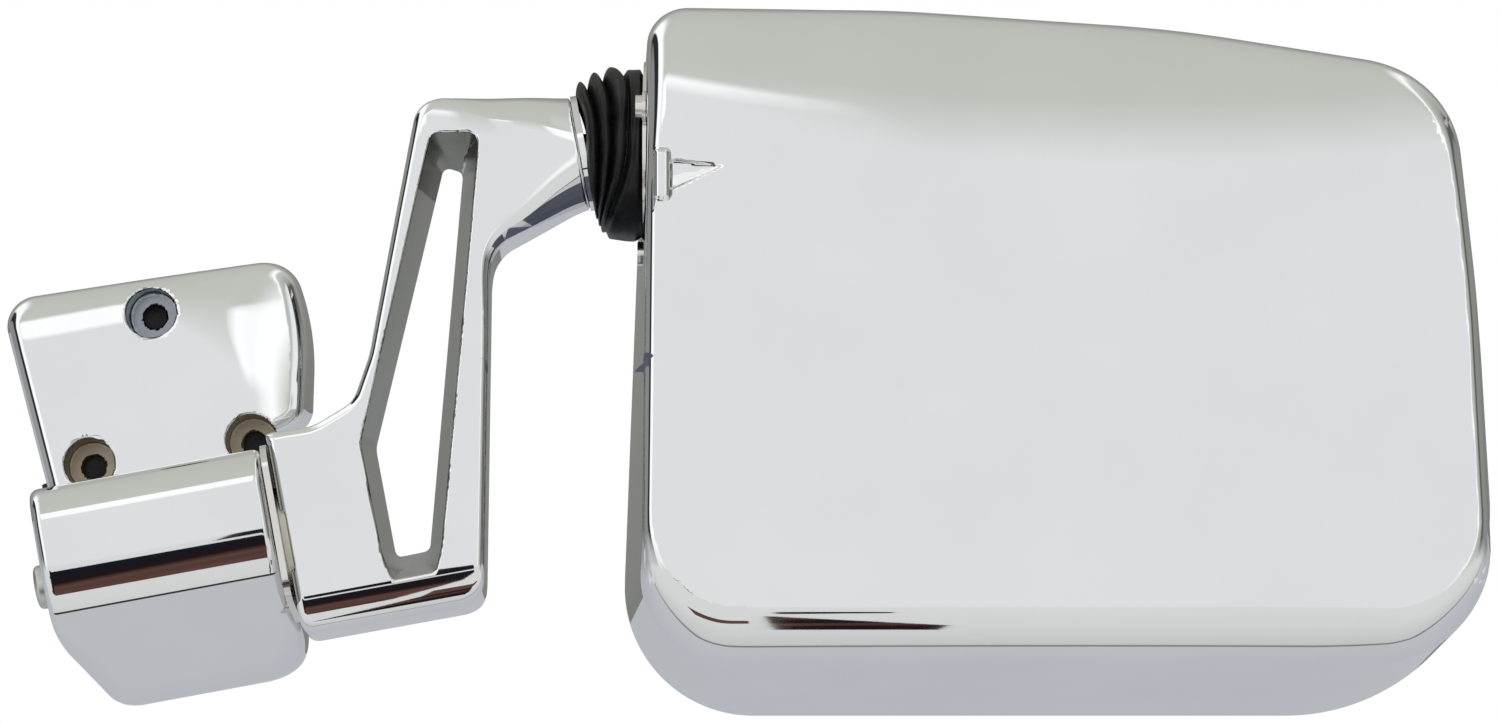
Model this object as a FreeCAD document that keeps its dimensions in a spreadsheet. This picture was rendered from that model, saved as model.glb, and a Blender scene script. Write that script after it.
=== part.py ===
"""Fold-away car side mirror: base, folding arm, ball joint, rubber boot and mirror head.

Frame: millimetres. The origin is the centre of the base's screw circle on its mounting face, the plane
Y = 0, and the whole mirror stands in front of that face, at negative Y. +X runs from the base towards
the head, +Z across the head. The folding axis lies in the XZ plane, pivot_tilt degrees above +X, and
the base and the arm are drawn in a frame turned by that angle, so that their local X is the axis.
"""
import FreeCAD, Part
import math
import os
import Sketcher
from FreeCAD import Placement, Rotation, Vector

doc = FreeCAD.newDocument("side_mirror")

# ---------------------------------------------------------------- driving dimensions

SIZES = {
    "pivot_tilt": 10.5, "pivot_y": -30.0, "pivot_w": -39.0,
    # base
    "gasket_thick": 1.5, "plate_thick": 14.0, "plate_left": -35.5, "plate_right": 36.0,
    "plate_top": 33.0, "plate_waist": -12.0, "edge_draft": 2.0, "base_corner": 6.0,
    "screw_circle_d": 45.0, "screw_circle_phase": 88.0, "screw_hole_d": 6.6,
    "counterbore_d": 12.0, "counterbore_deep": 10.0,
    "boss_left": -35.5, "boss_right": 22.8, "boss_top": -18.5, "boss_bottom": -70.5,
    "boss_front": -48.0, "boss_crease": -46.0, "boss_heel": -8.5, "boss_edge": 4.0,
    "end_lean": 7.0, "slope_top": 27.0, "slope_turn": 12.0, "slope_foot": 18.0, "slope_lift": 4.0,
    # fold pivot
    "bolt_d": 10.0, "bolt_head_d": 13.0, "bolt_head_left": -35.4, "bolt_end": 42.0,
    "washer_thick": 1.2, "spotface": -31.6, "bushing_d": 14.0, "running_gap": 0.05,
    "free_gap": 0.3, "spring_pocket_d": 24.0, "spring_floor": -4.0, "spring_wire": 2.2,
    "spring_mean_d": 17.0, "spring_turns": 5.0, "hub_d": 23.4, "hub_left": 17.0,
    "pressure_plate_thick": 1.5, "plate_corner": 6.0, "pin_d": 3.0, "pin_long": 5.0, "pin_hole": 6.0,
    "pin_offset": 15.0,
    "thrust_washer_d": 26.0, "thrust_washer_sunk": 1.2,
    # arm
    "arm_back": -16.0, "arm_front": -48.0, "arm_draft": 2.2, "lug_left": 24.6,
    "lug_top": -12.6, "lug_bottom": -62.3, "arm_corner": 5.0, "neck_foot_top": 54.0,
    "neck_foot_low": 16.0, "neck_foot_corner": 5.0, "slot_lead": 1.0, "slot_corner": 2.5,
    "slot_corner_back": 1.2,
    "neck_start": 84.0, "neck_end": 109.0, "neck_r": 13.3, "neck_w": 39.0, "neck_y": -32.0,
    "collar_thick": 1.5,
    # ball joint
    "ball_x": 131.0, "ball_y": -32.0, "ball_z": 58.0, "ball_r": 9.0, "stud_r": 5.0, "shank_r": 4.5,
    "stud_long": 44.0, "stud_root": 18.0, "shank_long": 40.0, "seat_thick": 1.5, "boot_r": 20.0,
    "boot_wall": 1.8,
    # flange and socket
    "mount_face": 117.5, "pad_thick": 3.0, "gasket_ring": 1.5, "flange_thick": 0.8,
    "flange_r": 22.0, "ear_r": 3.8, "ear_circle_r": 23.5, "ear_phase": 20.0, "flange_bore_r": 12.0,
    "flange_screw_r": 1.5, "bracket_thick": 2.0, "socket_r": 20.0, "socket_screw_circle_r": 16.9,
    "socket_screw_r": 1.5, "socket_gap": 0.3, "cup_r": 12.6, "cup_flange": 3.0, "ear_thick": 4.0,
    "clamp_spring_r": 2.3, "clamp_wire_r": 0.4, "clamp_spring_high": 4.2, "clamp_spring_turns": 4.0,
    "screw_head_r": 2.8, "screw_head_thick": 2.0, "flange_head_r": 2.9, "flange_head_thick": 1.6,
    "flange_screw_long": 11.0, "foot_gap": 4.5, "foot_long": 36.0, "foot_half": 18.0,
    # head
    "rim_y": -4.0, "edge_y": -60.0, "crown_y": -65.0, "crown_inset": 28.0, "wall": 2.0,
    "rim_corner": 26.0, "rim_corner_top": 12.0, "rim_bottom": -74.0, "edge_bottom": -61.5,
    "low_left_extra": 5.0, "low_right_extra": 24.0,
    "glass_inset": 8.3, "glass_thick": 2.8, "foam_thick": 0.8, "backing_thick": 1.8, "bezel_lip": 1.6,
}

sheet = doc.addObject("Spreadsheet::Sheet", "Sizes")
for row, (alias, number) in enumerate(SIZES.items(), start=1):
    sheet.set(f"A{row}", alias)
    sheet.set(f"B{row}", str(number))
    sheet.setAlias(f"B{row}", alias)
doc.recompute()


class Size:
    """A number together with the sheet expression that gives it."""

    def __init__(self, number, text):
        self.number = float(number)
        self.text = text

    def _join(self, sign, other, number):
        return Size(number, f"({self.text} {sign} {as_size(other).text})")

    def __add__(self, other):
        return self._join("+", other, self.number + as_size(other).number)

    def __sub__(self, other):
        return self._join("-", other, self.number - as_size(other).number)

    def __mul__(self, other):
        return self._join("*", other, self.number * as_size(other).number)

    def __truediv__(self, other):
        return self._join("/", other, self.number / as_size(other).number)

    def __radd__(self, other):
        return as_size(other) + self

    def __rsub__(self, other):
        return as_size(other) - self

    def __neg__(self):
        return as_size(0) - self


def as_size(value):
    return value if isinstance(value, Size) else Size(value, repr(float(value)))


def of(alias):
    """The sheet's cell of that name."""
    return Size(sheet.get(alias), f"Sizes.{alias}")


def turned(radius, angle, swing=0.0):
    """(cosine, sine) parts of a radius at a sheet angle plus a fixed swing in degrees."""
    total = as_size(angle) + swing
    radians = math.radians(total.number)
    return (Size(radius.number * math.cos(radians), f"{radius.text} * cos({total.text} * 1 deg)"),
            Size(radius.number * math.sin(radians), f"{radius.text} * sin({total.text} * 1 deg)"))


def bind(thing, **sizes):
    """Bind properties of a document object to the sheet."""
    for name, value in sizes.items():
        thing.setExpression(name.replace("__", "."), as_size(value).text)
    return thing


# ---------------------------------------------------------------- placements

OVER = 5.0                                    # how far a cutting sketch runs past the metal
TILT = Rotation(Vector(0, 1, 0), -sheet.get("pivot_tilt"))
ALONG_X = Rotation(Vector(0, 1, 0), 90)      # turns a primitive's own Z axis to +X


def tilted(x=0.0, y=0.0, z=0.0, turn=None):
    """A place given in the tilted frame of the base and the arm."""
    local = Vector(as_size(x).number, as_size(y).number, as_size(z).number)
    return Placement(TILT.multVec(local), TILT.multiply(turn) if turn else TILT)


def straight(x=0.0, y=0.0, z=0.0, turn=None):
    """A place given in the mirror's own frame."""
    local = Vector(as_size(x).number, as_size(y).number, as_size(z).number)
    return Placement(local, turn if turn else Rotation())


# ---------------------------------------------------------------- sketches and features

def new_body(name, place=None):
    body = doc.addObject("PartDesign::Body", name)
    body.Label = name
    if place:
        body.Placement = place
    return body


def new_sketch(body, role, offset=0.0):
    """A sketch on one of the body's origin planes, moved along the plane's normal.

    On XZ_Plane the normal is -Y, on YZ_Plane +X and on XY_Plane +Z."""
    sketch = body.newObject("Sketcher::SketchObject", f"{body.Name}_sketch")
    plane = next(feature for feature in body.Origin.OriginFeatures if feature.Role == role)
    sketch.AttachmentSupport = [(plane, "")]
    sketch.MapMode = "FlatFace"
    return bind(sketch, AttachmentOffset__Base__z=offset)


def pin_point(sketch, geometry, end, x, y):
    """Fix a point of the sketch at (x, y), bound to the sheet."""
    for kind, axis, value in (("DistanceX", -2, as_size(x)), ("DistanceY", -1, as_size(y))):
        if abs(value.number) < 1e-9:
            sketch.addConstraint(Sketcher.Constraint("PointOnObject", geometry, end, axis))
        else:
            index = sketch.addConstraint(
                Sketcher.Constraint(kind, -1, 1, geometry, end, value.number))
            sketch.setExpression(f"Constraints[{index}]", value.text)


def draw_circle(sketch, x, y, radius):
    place = Vector(as_size(x).number, as_size(y).number, 0)
    radius = as_size(radius)
    ring = sketch.addGeometry(Part.Circle(place, Vector(0, 0, 1), radius.number), False)
    pin_point(sketch, ring, 3, x, y)
    index = sketch.addConstraint(Sketcher.Constraint("Radius", ring, radius.number))
    sketch.setExpression(f"Constraints[{index}]", radius.text)


def corner_arc(before, corner, after, radius):
    """Tangent points, centre and angles of the arc that rounds a corner."""
    back = (before - corner).normalize()
    ahead = (after - corner).normalize()
    half = back.getAngle(ahead) / 2
    reach = radius / math.tan(half)
    centre = corner + (back + ahead).normalize() * (radius / math.sin(half))
    ends = [corner + back * reach, corner + ahead * reach]
    angles = [math.atan2(p.y - centre.y, p.x - centre.x) for p in ends]
    convex = back.cross(ahead).z < 0
    if not convex:
        angles.reverse()
    return ends, centre, angles, convex


def draw_outline(sketch, corners):
    """A closed outline from (x, y) or (x, y, radius) corners, counter-clockwise."""
    spots = [Vector(as_size(c[0]).number, as_size(c[1]).number, 0) for c in corners]
    radii = [as_size(c[2]) if len(c) > 2 else None for c in corners]
    count = len(corners)
    arcs = {}
    for i, radius in enumerate(radii):
        if radius:
            arcs[i] = corner_arc(spots[i - 1], spots[i], spots[(i + 1) % count], radius.number)
    lines = []
    for i in range(count):
        after = (i + 1) % count
        start = arcs[i][0][1] if i in arcs else spots[i]
        stop = arcs[after][0][0] if after in arcs else spots[after]
        lines.append(sketch.addGeometry(Part.LineSegment(start, stop), False))
    for i, (x, y) in enumerate(c[:2] for c in corners):
        before = lines[i - 1]
        if i not in arcs:
            sketch.addConstraint(Sketcher.Constraint("Coincident", before, 2, lines[i], 1))
            pin_point(sketch, lines[i], 1, x, y)
            continue
        ends, centre, angles, convex = arcs[i]
        circle = Part.Circle(centre, Vector(0, 0, 1), radii[i].number)
        arc = sketch.addGeometry(Part.ArcOfCircle(circle, *angles), False)
        first, last = (1, 2) if convex else (2, 1)
        sketch.addConstraint(Sketcher.Constraint("Tangent", before, 2, arc, first))
        sketch.addConstraint(Sketcher.Constraint("Tangent", arc, last, lines[i], 1))
        index = sketch.addConstraint(Sketcher.Constraint("Radius", arc, radii[i].number))
        sketch.setExpression(f"Constraints[{index}]", radii[i].text)
        point = sketch.addGeometry(Part.Point(spots[i]), True)
        pin_point(sketch, point, 1, x, y)
        sketch.addConstraint(Sketcher.Constraint("PointOnObject", point, 1, before))
        sketch.addConstraint(Sketcher.Constraint("PointOnObject", point, 1, lines[i]))


def outline_sketch(body, role, offset, corners):
    sketch = new_sketch(body, role, offset)
    draw_outline(sketch, corners)
    return sketch


def circle_sketch(body, role, offset, circles):
    sketch = new_sketch(body, role, offset)
    for circle in circles:
        draw_circle(sketch, *circle)
    return sketch


def add_pad(body, sketch, length):
    """Pad along the sketch's normal."""
    return bind(add_profile(body, "PartDesign::Pad", sketch), Length=length)


def add_pocket(body, sketch, length, along_normal=False):
    """Pocket against the sketch's normal, or along it."""
    pocket = bind(add_profile(body, "PartDesign::Pocket", sketch), Length=length)
    pocket.Reversed = along_normal
    return pocket


def add_profile(body, kind, sketch):
    feature = body.newObject(kind, f"{body.Name}_feature")
    feature.Profile = (sketch, [""])
    sketch.Visibility = False
    return feature


def add_loft(body, sketches, cut=False):
    kind = "PartDesign::SubtractiveLoft" if cut else "PartDesign::AdditiveLoft"
    loft = add_profile(body, kind, sketches[0])
    loft.Sections = [(sketch, "") for sketch in sketches[1:]]
    loft.Ruled = True
    return loft


def cylinder(name, place, radius, height):
    thing = doc.addObject("Part::Cylinder", name)
    thing.Placement = place
    return bind(thing, Radius=radius, Height=height)


def sphere(name, place, radius):
    thing = doc.addObject("Part::Sphere", name)
    thing.Placement = place
    return bind(thing, Radius=radius)


def cut(name, base, tool):
    thing = doc.addObject("Part::Cut", name)
    thing.Base, thing.Tool, thing.Label = base, tool, name
    return thing


def fuse(name, *things):
    thing = doc.addObject("Part::MultiFuse", name)
    thing.Shapes, thing.Label = list(things), name
    return thing


def group(name, things):
    """Separate solids that share one sub-part."""
    thing = doc.addObject("Part::Compound", name)
    thing.Links, thing.Label = things, name
    return thing


SUB_PARTS = []


def keep(thing):
    SUB_PARTS.append(thing)
    return thing


def ring(name, place, outer, inner, height):
    """A plain washer, sleeve or collar standing on its place."""
    tool = cylinder(f"{name}_bore", place, inner, height)
    return cut(name, cylinder(f"{name}_blank", place, outer, height), tool)


# ---------------------------------------------------------------- base

def screw_spots():
    radius = of("screw_circle_d") / 2
    return [turned(radius, of("screw_circle_phase"), 120 * i) for i in range(3)]


def base_outline(inset):
    """Footprint of plate and boss on the mounting face."""
    left, right = of("plate_left") + inset, of("plate_right") - inset
    waist, corner = of("plate_waist"), of("base_corner")
    heel = of("boss_bottom") + inset
    end, turn = of("boss_left") + inset, of("slope_turn")
    return [(left, of("plate_top") - inset, corner), (end + 3, waist - 4, corner + 2),
            (end, waist - 14), (end, waist - 32),
            (end + turn, heel + of("slope_lift"), corner), (end + of("slope_foot") + 1, heel),
            (of("boss_right") - inset, heel, corner), (of("boss_right") - inset, waist - 1),
            (right - 3, waist + 2, corner), (right + 1, waist + 24),
            (right - 1, of("plate_top") - inset - 2, corner)]


def make_mounting_base():
    body = new_body("mounting_base", tilted())
    back, front = of("gasket_thick"), of("gasket_thick") + of("plate_thick")
    full, inset = base_outline(0), of("edge_draft")
    root_left, root_right, root = of("boss_left") + 4, of("boss_right") - 1, of("boss_top") - 10
    wide = [full[0], (root_left, root), (root_right, root), (root_right, of("plate_waist") - 1),
            *full[8:]]
    pull = ((1, -1), (0, 0), (0, 0), (0, 0), (-1, 0), (-1, 0), (-1, -1))
    slim = [(x + inset * dx, y + inset * dy, *r) for (x, y, *r), (dx, dy) in zip(wide, pull)]
    add_loft(body, [outline_sketch(body, "XZ_Plane", back, wide),
                    outline_sketch(body, "XZ_Plane", front, slim)])
    edge = of("boss_edge")
    profile = [(-back, of("boss_top") + 1), (-back, of("boss_bottom")),
               (of("boss_heel"), of("boss_bottom"), edge), (of("boss_front"), of("boss_crease"), edge * 2),
               (of("boss_front"), of("boss_top"), edge)]
    profile.reverse()
    add_pad(body, outline_sketch(body, "YZ_Plane", of("boss_left"), profile),
            of("boss_right") - of("boss_left"))
    left, low, outside = of("boss_left"), of("boss_bottom"), of("boss_front") - OVER
    far, lean_end = left - OVER, of("boss_heel") + 4
    trim_end = [(far, outside), (left + of("end_lean"), outside), (left, lean_end), (far, lean_end)]
    end_cut = add_pocket(body, outline_sketch(body, "XY_Plane", 0.0, trim_end), -low + OVER)
    foot, turn = left + of("slope_foot"), left + of("slope_turn")
    trim_corner = [(far, low - OVER), (foot, low - OVER), (foot, low), (turn, low + of("slope_lift")),
                   (left, low + of("slope_top")), (far, low + of("slope_top"))]
    corner_cut = add_pocket(body, outline_sketch(body, "XZ_Plane", 0.0, trim_corner), -outside,
                            along_normal=True)
    axis = (of("pivot_y"), of("pivot_w"))
    add_pocket(body, circle_sketch(body, "YZ_Plane", of("boss_right"),
                                   [(*axis, of("spring_pocket_d") / 2)]),
               of("boss_right") - of("spring_floor"))
    add_pocket(body, circle_sketch(body, "YZ_Plane", of("boss_right"), [(*axis, of("bushing_d") / 2)]),
               of("boss_right") - of("boss_left") + OVER)
    add_pocket(body, circle_sketch(body, "YZ_Plane", of("spotface"), [(*axis, of("bolt_head_d") / 2 + 1)]),
               OVER * 4)
    holes = [(x, z, of("screw_hole_d") / 2) for x, z in screw_spots()]
    sinks = [(x, z, of("counterbore_d") / 2) for x, z in screw_spots()]
    add_pocket(body, circle_sketch(body, "XZ_Plane", front, sinks), of("counterbore_deep"))
    add_pocket(body, circle_sketch(body, "XZ_Plane", front, holes), of("plate_thick") + 1)
    for side in (-1, 1):
        spot = (axis[0], axis[1] + of("pin_offset") * side, of("pin_d") / 2)
        add_pocket(body, circle_sketch(body, "YZ_Plane", of("boss_right"), [spot]), of("pin_hole"))
    return keep(body), [end_cut, corner_cut]


def make_base_gasket():
    body = new_body("base_gasket", tilted())
    add_pad(body, outline_sketch(body, "XZ_Plane", 0.0, base_outline(as_size(1))), of("gasket_thick"))
    holes = [(x, z, of("screw_hole_d") / 2) for x, z in screw_spots()]
    add_pocket(body, circle_sketch(body, "XZ_Plane", of("gasket_thick"), holes), of("gasket_thick") + 1)
    return keep(body)


# ---------------------------------------------------------------- fold pivot

def on_axis(x, lift=0.0):
    """A place on the fold axis whose own Z runs along it."""
    return tilted(x, of("pivot_y"), of("pivot_w") + lift, ALONG_X)


def make_pivot():
    bolt_r, run, free = of("bolt_d") / 2, of("running_gap"), of("free_gap")
    washer = of("washer_thick")
    keep(ring("pivot_head_washer", on_axis(of("spotface") - washer), of("bolt_head_d") / 2 + 0.6,
              bolt_r + free, washer))
    keep(ring("pivot_bushing", on_axis(of("spotface")), of("bushing_d") / 2, bolt_r + run,
              of("spring_floor") - of("spotface")))
    keep(ring("spring_seat_washer", on_axis(of("spring_floor")), of("spring_pocket_d") / 2 - free,
              bolt_r + free, washer))
    head = cylinder("bolt_head", on_axis(of("bolt_head_left")), of("bolt_head_d") / 2,
                    of("spotface") - washer - run - of("bolt_head_left"))
    shank = cylinder("bolt_shank", on_axis(of("bolt_head_left")), bolt_r,
                     of("bolt_end") - of("bolt_head_left"))
    keep(fuse("pivot_bolt", head, shank))
    make_spring("pivot_spring", on_axis(of("spring_floor") + washer + of("spring_wire") / 2),
                of("spring_mean_d") / 2, of("spring_wire") / 2,
                of("hub_left") - of("spring_floor") - washer - of("spring_wire"), of("spring_turns"))
    make_pressure_plate()
    pins = [cylinder("pressure_pin", on_axis(of("boss_right") - of("pin_long"), of("pin_offset") * side),
                     of("pin_d") / 2, of("pin_long")) for side in (-1, 1)]
    keep(group("pressure_plate_pins", pins))
    face = of("boss_right") + of("pressure_plate_thick")
    keep(ring("thrust_washer", on_axis(face + run), of("thrust_washer_d") / 2, bolt_r + run,
              of("lug_left") + of("thrust_washer_sunk") - face - run))


def make_spring(name, place, mean_r, wire_r, height, turns, node=True):
    helix = doc.addObject("Part::Helix", f"{name}_path")
    bind(helix, Pitch=as_size(height) / turns, Height=height, Radius=mean_r)
    section = doc.addObject("Part::Circle", f"{name}_wire")
    bind(section, Radius=wire_r)
    section.Placement = Placement(Vector(as_size(mean_r).number, 0, 0), Rotation(Vector(1, 0, 0), 90))
    bind(section, Placement__Base__x=mean_r)
    coil = doc.addObject("Part::Sweep", name)
    coil.Sections, coil.Spine = [section], (helix, [])
    coil.Solid, coil.Frenet, coil.Label = True, True, name
    coil.Placement = place
    return keep(coil) if node else coil


def make_pressure_plate():
    """Thin plate with the boss's outline and a hub that slides in the spring pocket."""
    body = new_body("pressure_plate", tilted())
    top, low = of("lug_top") - 4, of("lug_bottom") + 3
    corner = of("plate_corner")
    rim = [(of("boss_front") + 1, top, corner), (of("boss_front") + 1, low + corner, corner),
           (of("arm_back") - 4, low, corner), (of("arm_back") - 1, top, corner)]
    add_pad(body, outline_sketch(body, "YZ_Plane", of("boss_right"), rim), of("pressure_plate_thick"))
    axis = (of("pivot_y"), of("pivot_w"))
    add_pad(body, circle_sketch(body, "YZ_Plane", of("hub_left"), [(*axis, of("hub_d") / 2)]),
            of("boss_right") - of("hub_left"))
    add_pocket(body, circle_sketch(body, "YZ_Plane", of("boss_right") + of("pressure_plate_thick"),
                                   [(*axis, of("bolt_d") / 2 + of("free_gap"))]), OVER * 4)
    return keep(body)


# ---------------------------------------------------------------- arm

def arm_outline(draft):
    """Outline of lug and blade; draft pulls every side but the lug's flat left face inwards."""
    left, top, low = of("lug_left"), of("lug_top") - draft, of("lug_bottom") + draft
    corner = of("arm_corner")
    return [(left, top), (left, low), (left + 42.6 - draft, low, corner),
            (left + 44.4 - draft, low + 5, corner), (left + 59.2 - draft, of("lug_top") + 25),
            (left + 61, of("lug_top") + 34), (left + 63.4, of("lug_top") + 68 - draft),
            (left + 46 + draft, of("lug_top") + 70 - draft, corner),
            (left + 26.8 + draft, of("lug_top") + 19.2),
            (left + 18 + draft, of("lug_top") + 3.8, corner),
            (left + 11, top, corner)]


def make_mirror_arm():
    body = new_body("arm_casting", tilted())
    back, front = -of("arm_back"), -of("arm_front")
    add_loft(body, [outline_sketch(body, "XZ_Plane", back, arm_outline(as_size(0))),
                    outline_sketch(body, "XZ_Plane", front, arm_outline(of("arm_draft")))])
    low_y, high_y, half = of("arm_front"), of("arm_back"), of("neck_r")
    top, low = of("neck_foot_top"), of("neck_foot_low")
    foot = [(low_y, top), (low_y, low), (high_y, low), (high_y, top)]
    bulge = [(of("neck_y") - half, of("neck_w") + half), (of("neck_y") - half, of("neck_w") - half),
             (of("neck_y") + half, of("neck_w") - half), (of("neck_y") + half, of("neck_w") + half)]
    nearly_round, tip = half * 0.98, as_size(3)
    add_loft(body, [outline_sketch(body, "YZ_Plane", of("neck_start"),
                                   [(*p, of("neck_foot_corner")) for p in foot]),
                    outline_sketch(body, "YZ_Plane", of("neck_end") - 2,
                                   [(*p, nearly_round) for p in bulge])])
    add_pad(body, circle_sketch(body, "YZ_Plane", of("neck_end") - tip,
                                [(of("neck_y"), of("neck_w"), half)]), tip)
    slot_front = [(75.2, 48.8), (45.8, -20.5), (45.8, -55.6), (59.1, -55.6), (87.0, 47.4)]
    slot_back = [(76.2, 44.0), (48.2, -19.8), (48.5, -46.2), (56.1, -46.0), (80.1, 42.0)]
    lead, tight, round_off = of("slot_lead"), of("slot_corner_back"), of("slot_corner")
    add_loft(body, [outline_sketch(body, "XZ_Plane", back - lead, [(*p, tight) for p in slot_back]),
                    outline_sketch(body, "XZ_Plane", front + lead, [(*p, round_off) for p in slot_front])],
             cut=True)
    axis = (of("pivot_y"), of("pivot_w"))
    add_pocket(body, circle_sketch(body, "YZ_Plane", of("lug_left"), [(*axis, of("bolt_d") / 2)]),
               of("bolt_end") - of("lug_left"), along_normal=True)
    add_pocket(body, circle_sketch(body, "YZ_Plane", of("lug_left"), [(*axis, of("thrust_washer_d") / 2)]),
               of("thrust_washer_sunk"), along_normal=True)
    bore = cylinder("stud_bore", stud_place(), of("stud_r"), as_size(30))
    return keep(cut("mirror_arm", body, bore))


def stud_place():
    """Left end of the ball stud, inside the neck; its own Z runs towards the head."""
    return straight(of("ball_x") - of("stud_long"), of("ball_y"), of("ball_z"), ALONG_X)


def make_ball_stud():
    centre = straight(of("ball_x"), of("ball_y"), of("ball_z"), ALONG_X)
    keep(fuse("ball_stud", cylinder("stud_root", stud_place(), of("stud_r"), of("stud_root")),
              cylinder("stud_shank", stud_place(), of("shank_r"), of("shank_long")),
              sphere("stud_ball", centre, of("ball_r"))))
    keep(ring("neck_collar", tilted(of("neck_end"), of("neck_y"), of("neck_w"), ALONG_X),
              of("neck_r") + 0.5, of("neck_r") - 4, of("collar_thick")))


def make_rubber_boot():
    """Bellows round the ball joint; its left end is cut along the neck's end face."""
    body = new_body("boot_bellows", straight(of("ball_x"), of("ball_y"), of("ball_z")))
    right = of("mount_face") - of("gasket_ring") - of("flange_thick") - of("ball_x")
    rim, wall = of("boot_r"), of("boot_wall")
    steps = [(-35, -5.2), (-29, -3.6), (-27.5, -5.0), (-24.5, -1.8), (-22.5, -3.4), (-20.0, 0.0)]
    outer = [(as_size(x), rim + r) for x, r in steps] + [(right, rim)]
    inner = [(right, rim - wall), (as_size(-20), rim - wall), (as_size(-24.5), rim - wall - 3.4),
             (as_size(-35), rim - wall - 5.6)]
    sketch = new_sketch(body, "XY_Plane")
    draw_outline(sketch, list(reversed(outer + inner)))
    feature = add_profile(body, "PartDesign::Revolution", sketch)
    feature.ReferenceAxis = (sketch, ["H_Axis"])
    feature.Angle = 360.0
    neck_side = cylinder("boot_end", tilted(of("neck_end") + of("collar_thick") - 40, of("neck_y"),
                                            of("neck_w"), ALONG_X), as_size(60), as_size(40))
    return keep(cut("rubber_boot", body, neck_side))


# ---------------------------------------------------------------- ball seats and socket

def on_stud(dx, dy=0.0, dz=0.0):
    """A place beside the ball's centre whose own Z runs along +X."""
    return straight(of("ball_x") + dx, of("ball_y") + dy, of("ball_z") + dz, ALONG_X)


def make_seat(name, start, stop):
    """A zone of a spherical shell between two planes across the stud's axis."""
    inner = of("ball_r") + of("running_gap")
    outer = of("ball_r") + of("seat_thick")
    shell = cut(f"{name}_shell", sphere(f"{name}_out", on_stud(0), outer),
                sphere(f"{name}_in", on_stud(0), inner))
    slab = cylinder(f"{name}_slab", on_stud(start), as_size(20), as_size(stop) - start)
    zone = doc.addObject("Part::Common", name)
    zone.Base, zone.Tool, zone.Label = shell, slab, name
    return keep(zone)


def around(radius, phase, count):
    """(dy, dz) offsets of points on a circle, the first at phase above -Y."""
    for i in range(count):
        along, up = turned(radius, phase, 360 / count * i)
        yield -along, up


def make_socket():
    hollow = of("ball_r") + of("seat_thick") + of("running_gap")
    clamp_left = of("mount_face") + of("pad_thick") + of("bracket_thick") - of("ball_x")
    screw_r, circle = of("socket_screw_r"), of("socket_screw_circle_r")
    flange = of("cup_flange")
    spots = list(around(circle, as_size(80), 3))
    gap = of("socket_gap")
    clamp_blank = cylinder("clamp_blank", on_stud(clamp_left), of("socket_r"), -clamp_left - gap)
    clamp_tools = [sphere("clamp_hollow", on_stud(0), hollow),
                   cylinder("clamp_mouth", on_stud(clamp_left - 1), hollow * 0.74, as_size(3.0))]
    clamp_tools += [cylinder("clamp_thread", on_stud(-6, *spot), screw_r, as_size(10)) for spot in spots]
    clamp_tools += [cylinder("flange_thread", on_stud(clamp_left - 1, *spot), of("flange_screw_r"),
                             as_size(5)) for spot in flange_thread_spots()]
    clamp_body = fuse("clamp_body", clamp_blank, *clamp_ears(clamp_left))
    keep(cut("socket_clamp", clamp_body, fuse("clamp_tools", *clamp_tools)))
    cup_blank = fuse("cup_blank", cylinder("cup_collar", on_stud(gap), of("socket_r"), flange),
                     cylinder("cup_bowl", on_stud(gap), of("cup_r"), hollow + 1.5))
    cup_tools = [sphere("cup_hollow", on_stud(0), hollow)]
    cup_tools += [cylinder("cup_hole", on_stud(-1, *spot), screw_r + 0.2, as_size(10)) for spot in spots]
    keep(cut("socket_cup", cup_blank, fuse("cup_tools", *cup_tools)))
    springs, screws = [], []
    top = flange + gap
    for i, spot in enumerate(spots):
        wire = of("clamp_wire_r")
        springs.append(make_spring(f"clamp_spring_{i}", on_stud(top + wire, *spot), of("clamp_spring_r"),
                                   wire, of("clamp_spring_high"), of("clamp_spring_turns"), node=False))
        screws.append(fuse(f"clamp_screw_{i}", cylinder("clamp_shank", on_stud(-5, *spot), screw_r,
                                                        top + 11),
                           cylinder("clamp_head", on_stud(top + 5.0, *spot), of("screw_head_r"),
                                    of("screw_head_thick"))))
    keep(group("clamp_springs", springs))
    keep(group("clamp_screws", screws))


def flange_thread_spots():
    return list(around(of("ear_circle_r"), of("ear_phase"), 3))


def clamp_ears(left):
    """Ears of the clamp that take the flange screws."""
    return [cylinder("clamp_ear", on_stud(left, *spot), of("ear_r"), of("ear_thick"))
            for spot in flange_thread_spots()]


def flange_ring(name, left, thick):
    """A disc with three ears, a wide bore and the screw holes."""
    blank = [cylinder(f"{name}_disc", on_stud(left), of("flange_r"), thick)]
    tools = [cylinder(f"{name}_bore", on_stud(left - 1), of("flange_bore_r"), thick + 2)]
    for spot in flange_thread_spots():
        blank.append(cylinder(f"{name}_ear", on_stud(left, *spot), of("ear_r"), thick))
        tools.append(cylinder(f"{name}_hole", on_stud(left - 1, *spot), of("flange_screw_r"), thick + 2))
    return keep(cut(name, fuse(f"{name}_blank", *blank), fuse(f"{name}_tools", *tools)))


def make_flange():
    face = of("mount_face") - of("ball_x")
    gasket_left = face - of("gasket_ring")
    plate_left = gasket_left - of("flange_thick")
    flange_ring("flange_gasket", gasket_left, of("gasket_ring"))
    flange_ring("flange_plate", plate_left, of("flange_thick"))
    screws = []
    for spot in flange_thread_spots():
        start = plate_left - of("flange_head_thick")
        head = cylinder("flange_head", on_stud(start, *spot), of("flange_head_r"), of("flange_head_thick"))
        shank = cylinder("flange_shank", on_stud(start, *spot), of("flange_screw_r"),
                         of("flange_screw_long"))
        screws.append(fuse("flange_screw", head, shank))
    keep(group("flange_screws", screws))


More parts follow.
